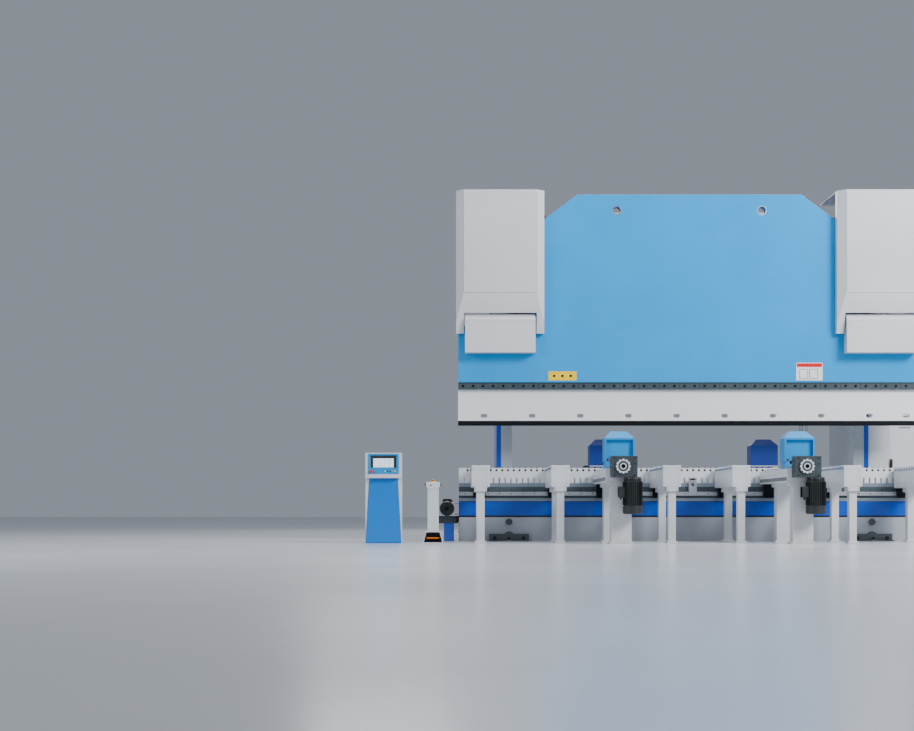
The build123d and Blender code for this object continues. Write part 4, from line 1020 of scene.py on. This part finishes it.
def build_pedestal():
    low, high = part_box("pedestal_body")
    x, front = (low.x + high.x) / 2, low.y
    body = stand_for("pedestal_body")
    half, waist, top = 0.2195, 0.1695, high.z
    panel = [(x - half + 0.002, 0.004), (x + half - 0.002, 0.004), (x + half - 0.004, 0.03)]
    panel += [(x + waist, top), (x - waist, top), (x - half + 0.004, 0.03)]
    body.prism(panel, 1, (front, front + 0.03), PANEL, 0.004)
    for side in SIDES:
        edge, inside = x + side * half, x + side * (half - 0.004)
        wing = [(edge, 0.0), (edge, top), (x + side * (waist + 0.003), top), (inside, 0.03), (inside, 0.0)]
        body.prism(wing, 1, (front + 0.008, high.y), COVER, 0.003)
        wall_low = (x + side * (half - 0.018), front + 0.03, 0)
        body.box(wall_low, (x + side * (half - 0.0005), high.y, top), COVER, 0.003)
    body.box((x - half + 0.01, front + 0.03, 0), (x + half - 0.01, high.y - 0.004, top), COVER, 0.003)
    body.box((x - 0.16, high.y - 0.004, 0.12), (x + 0.16, high.y, 0.68), COVER, 0.001)
    for z in spread(0.18, 0.3, 5):
        body.box((x - 0.1, high.y - 0.001, z), (x + 0.1, high.y, z + 0.01), DARK, 0)
    body.done()
    head = shaped("pedestal_head", COVER, 0.012, segments=3)
    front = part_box("pedestal_head")[0].y
    bezel_w, recess_w = 0.1875, 0.158
    bezel_low, recess_low, recess_high, bezel_high = 0.8395, 0.913, 1.063, 1.0825
    for z0, z1 in ((bezel_low, recess_low), (recess_high, bezel_high)):
        head.box((x - bezel_w, front - 0.005, z0), (x + bezel_w, front + 0.002, z1), BRIGHT, 0.002)
    for dx in SIDES:
        post_low = (x + dx * recess_w, front - 0.005, recess_low - 0.004)
        head.box(post_low, (x + dx * bezel_w, front + 0.002, recess_high + 0.004), BRIGHT, 0.002)
    head.box((x - recess_w, front + 0.018, recess_low), (x + recess_w, front + 0.0202, recess_high), SLATE, 0)
    head.box((x - 0.19, front - 0.045, 0.789), (x + 0.19, front + 0.01, 0.803), COVER, 0.004)
    for i, material in enumerate((WHITE, BLACK, BLACK, ORANGE, WHITE)):
        head.peg((x + 0.02 + 0.03 * i, front - 0.005, 0.872), FRONT, 0.005, 0.008, material, 20)
    head.ring((x - 0.145, front, 0.869), FRONT, 0.028, 0.0095, 0.0032, YELLOW, 36)
    head.done()
    glass = stand_for("pedestal_screen")
    low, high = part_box("pedestal_screen")
    rim, rim_y = 0.012, low.y - 0.002
    glass.box(low, high, SCREEN, 0.002)
    for z0, z1 in ((low.z - rim, low.z), (high.z, high.z + rim)):
        glass.box((low.x - rim, rim_y, z0), (high.x + rim, high.y, z1), BLACK, 0.002)
    for x0, x1 in ((low.x - rim, low.x), (high.x, high.x + rim)):
        glass.box((x0, rim_y, low.z), (x1, high.y, high.z), BLACK, 0.002)
    glass.done()


def build_stop(node, axis, start):
    """Mushroom button with a domed red head."""
    piece = stand_for(node)
    start, r = Vector(start), 0.0198
    piece.rod(start - Vector(axis) * 0.035, start, BUTTON_STEM_R, BLACKED, 20)
    dome = [(0, 0), (r * 0.55, 0), (r * 0.6, 0.004), (r, 0.008)]
    dome += [(r, 0.013), (r * 0.9, 0.018), (r * 0.6, 0.021), (0, 0.0219)]
    piece.lathe(start, axis, dome, RED, 36)
    piece.done()


def build_stand():
    low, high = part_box("stand_column")
    x, y = (low.x + high.x) / 2, (low.y + high.y) / 2
    column = shaped("stand_column", COVER, 0.006, segments=3)
    column.box((x - 0.0685, low.y - 0.0006, 0.654), (x + 0.0685, low.y + 0.001, 0.6565), DARK, 0)
    column.ring((x, y, high.z), UP, 0.03, 0.0095, 0.0032, YELLOW, 36)
    column.ring((x, y, high.z + 0.003), UP, 0.03, 0.0215, 0.009, YELLOW, 36)
    for dx, lamp in ((-1, BLACK), (1, WHITE)):
        for z in (0.18, 0.62):
            column.socket((x + dx * 0.055, low.y, z), FRONT, 0.005, 0.003, ZINC)
        column.ring((x + dx * 0.087, y, high.z - 0.03), (dx, 0, 0), 0.024, 0.0195, 0.005, BLACK, 32)
        column.peg((x + dx * 0.03, low.y, 0.70), FRONT, 0.006, 0.009, lamp, 20)
    column.done()
    for side in SIDES:
        build_palm_button(side)


def build_palm_button(side):
    name = f"{NAMES[side]}_palm_button"
    low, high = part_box(name)
    button = stand_for(name)
    y, z = (low.y + high.y) / 2, (low.z + high.z) / 2
    inner, outer = (high.x, low.x) if side < 0 else (low.x, high.x)
    button.rod((inner, y, z), (outer - side * 0.006, y, z), BUTTON_STEM_R, BLACKED, 20)
    cap = [(0, 0), (0.016, 0), (0.018, 0.002), (0.0178, 0.005), (0.014, 0.0075), (0, 0.008)]
    button.lathe((outer - side * 0.008, y, z), (side, 0, 0), cap, BLACK)
    button.done()


def build_pedal():
    low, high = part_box("pedal_housing")
    housing = shaped("pedal_housing", COVER, 0.003)
    x = sum(corner.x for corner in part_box("stand_column")) / 2
    housing.box((x - 0.075, high.y - 0.0115, 0.012), (x + 0.075, high.y - 0.0095, 0.128), SLATE, 0.001)
    housing.box((x - 0.105, low.y + 0.02, 0.0098), (x + 0.105, high.y - 0.012, 0.0125), BLACK, 0.001)
    housing.done()
    low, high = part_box("foot_pedal")
    pedal = shaped("foot_pedal", ORANGE, 0.003)
    # the tread falls 13 mm over 220 mm towards the back
    slope = -13 / 220
    for i in range(9):
        y = low.y + 0.012 + i * 0.014
        z = high.z + slope * (y - low.y)
        pedal.box((x - 0.07, y, z - 0.002), (x + 0.07, y + 0.005, z + 0.0012), BLACK, 0.001)
    pedal.done()

# ---- assembly ----
carry_over()
build_guides()
build_dies()
build_ram()
build_clamps()
build_punch()
build_ram_covers()
build_cylinders()
build_valves()
build_tank()
build_pipes()
build_drive_units()
build_pump_motor()
build_bed_front()
build_anchors()
build_end_drive()
build_supports()
build_locator()
build_cabinet()
build_pedestal()
build_stand()
build_pedal()
build_stop("pedestal_estop", FRONT, (-4.060, -1.316, 0.869))
build_stop("stand_estop", UP, (-3.315, -1.221, 0.750))
for facing, arms in ((-1, "feed_arms"), (1, "gauge_arms")):
    build_drive_arms(facing, arms)
for side in SIDES:
    build_hood(side)
    build_screw(f"{NAMES[side]}_feed_screw", side, -1)
    build_screw(f"{NAMES[side]}_gauge_screw", side, 1)
    build_carriage(f"{NAMES[side]}_feed_carriage", side, BRIGHT, True)
    build_carriage(f"{NAMES[side]}_gauge_carriage", side, NAVY, False)


# ---- floor, light and camera ----
def floor():
    data = bpy.data.meshes.new("studio_floor")
    reach = 60.0
    corners = [(-reach, -reach, 0), (reach, -reach, 0), (reach, reach, 0), (-reach, reach, 0)]
    data.from_pydata(corners, [], [(0, 1, 2, 3)])
    recipe = Recipe("studio_floor", (0.58, 0.60, 0.63), roughness=0.3)
    recipe.tint(0.15, 0.02)
    recipe.gloss(0.4, 0.2, 0.26)
    data.materials.append(recipe.done())
    plane = bpy.data.objects.new("studio_floor", data)
    bpy.context.scene.collection.objects.link(plane)


def area_light(name, place, target, size, power, color=(1, 1, 1)):
    light = bpy.data.lights.new(name, "AREA")
    light.shape, light.size, light.size_y = "RECTANGLE", size[0], size[1]
    light.energy, light.color = power, color
    made = bpy.data.objects.new(name, light)
    made.location = place
    made.rotation_euler = (Vector(target) - Vector(place)).to_track_quat("-Z", "Y").to_euler()
    bpy.context.scene.collection.objects.link(made)


def studio():
    scene = bpy.context.scene
    world = bpy.data.worlds.new("studio")
    world.use_nodes = True
    world.node_tree.nodes["Background"].inputs["Color"].default_value = (0.62, 0.69, 0.80, 1)
    world.node_tree.nodes["Background"].inputs["Strength"].default_value = 0.42
    scene.world = world
    area_light("key", (9.5, -10, 10), (0.5, 0, 1.6), (6, 5), 3300, (1, 0.985, 0.965))
    area_light("side", (-11, -7, 4.5), (-2, 0, 1.6), (4, 4), 420, (0.90, 0.95, 1))
    area_light("top", (0, -1.5, 10.5), (0, 0, 1), (12, 5), 700)
    area_light("rim", (0, 9, 7), (0, 0, 2.5), (12, 4), 700)


def camera():
    data = bpy.data.cameras.new("view")
    data.lens = 54.5
    data.sensor_width = 36.0
    data.shift_y = 0.158
    data.clip_end = 200.0
    made = bpy.data.objects.new("view", data)
    made.location = (-3.024, -18.06, 0.403)
    made.rotation_euler = (math.radians(90), 0, 0)
    bpy.context.scene.collection.objects.link(made)
    bpy.context.scene.camera = made


floor()
studio()
camera()
bpy.context.view_layer.update()
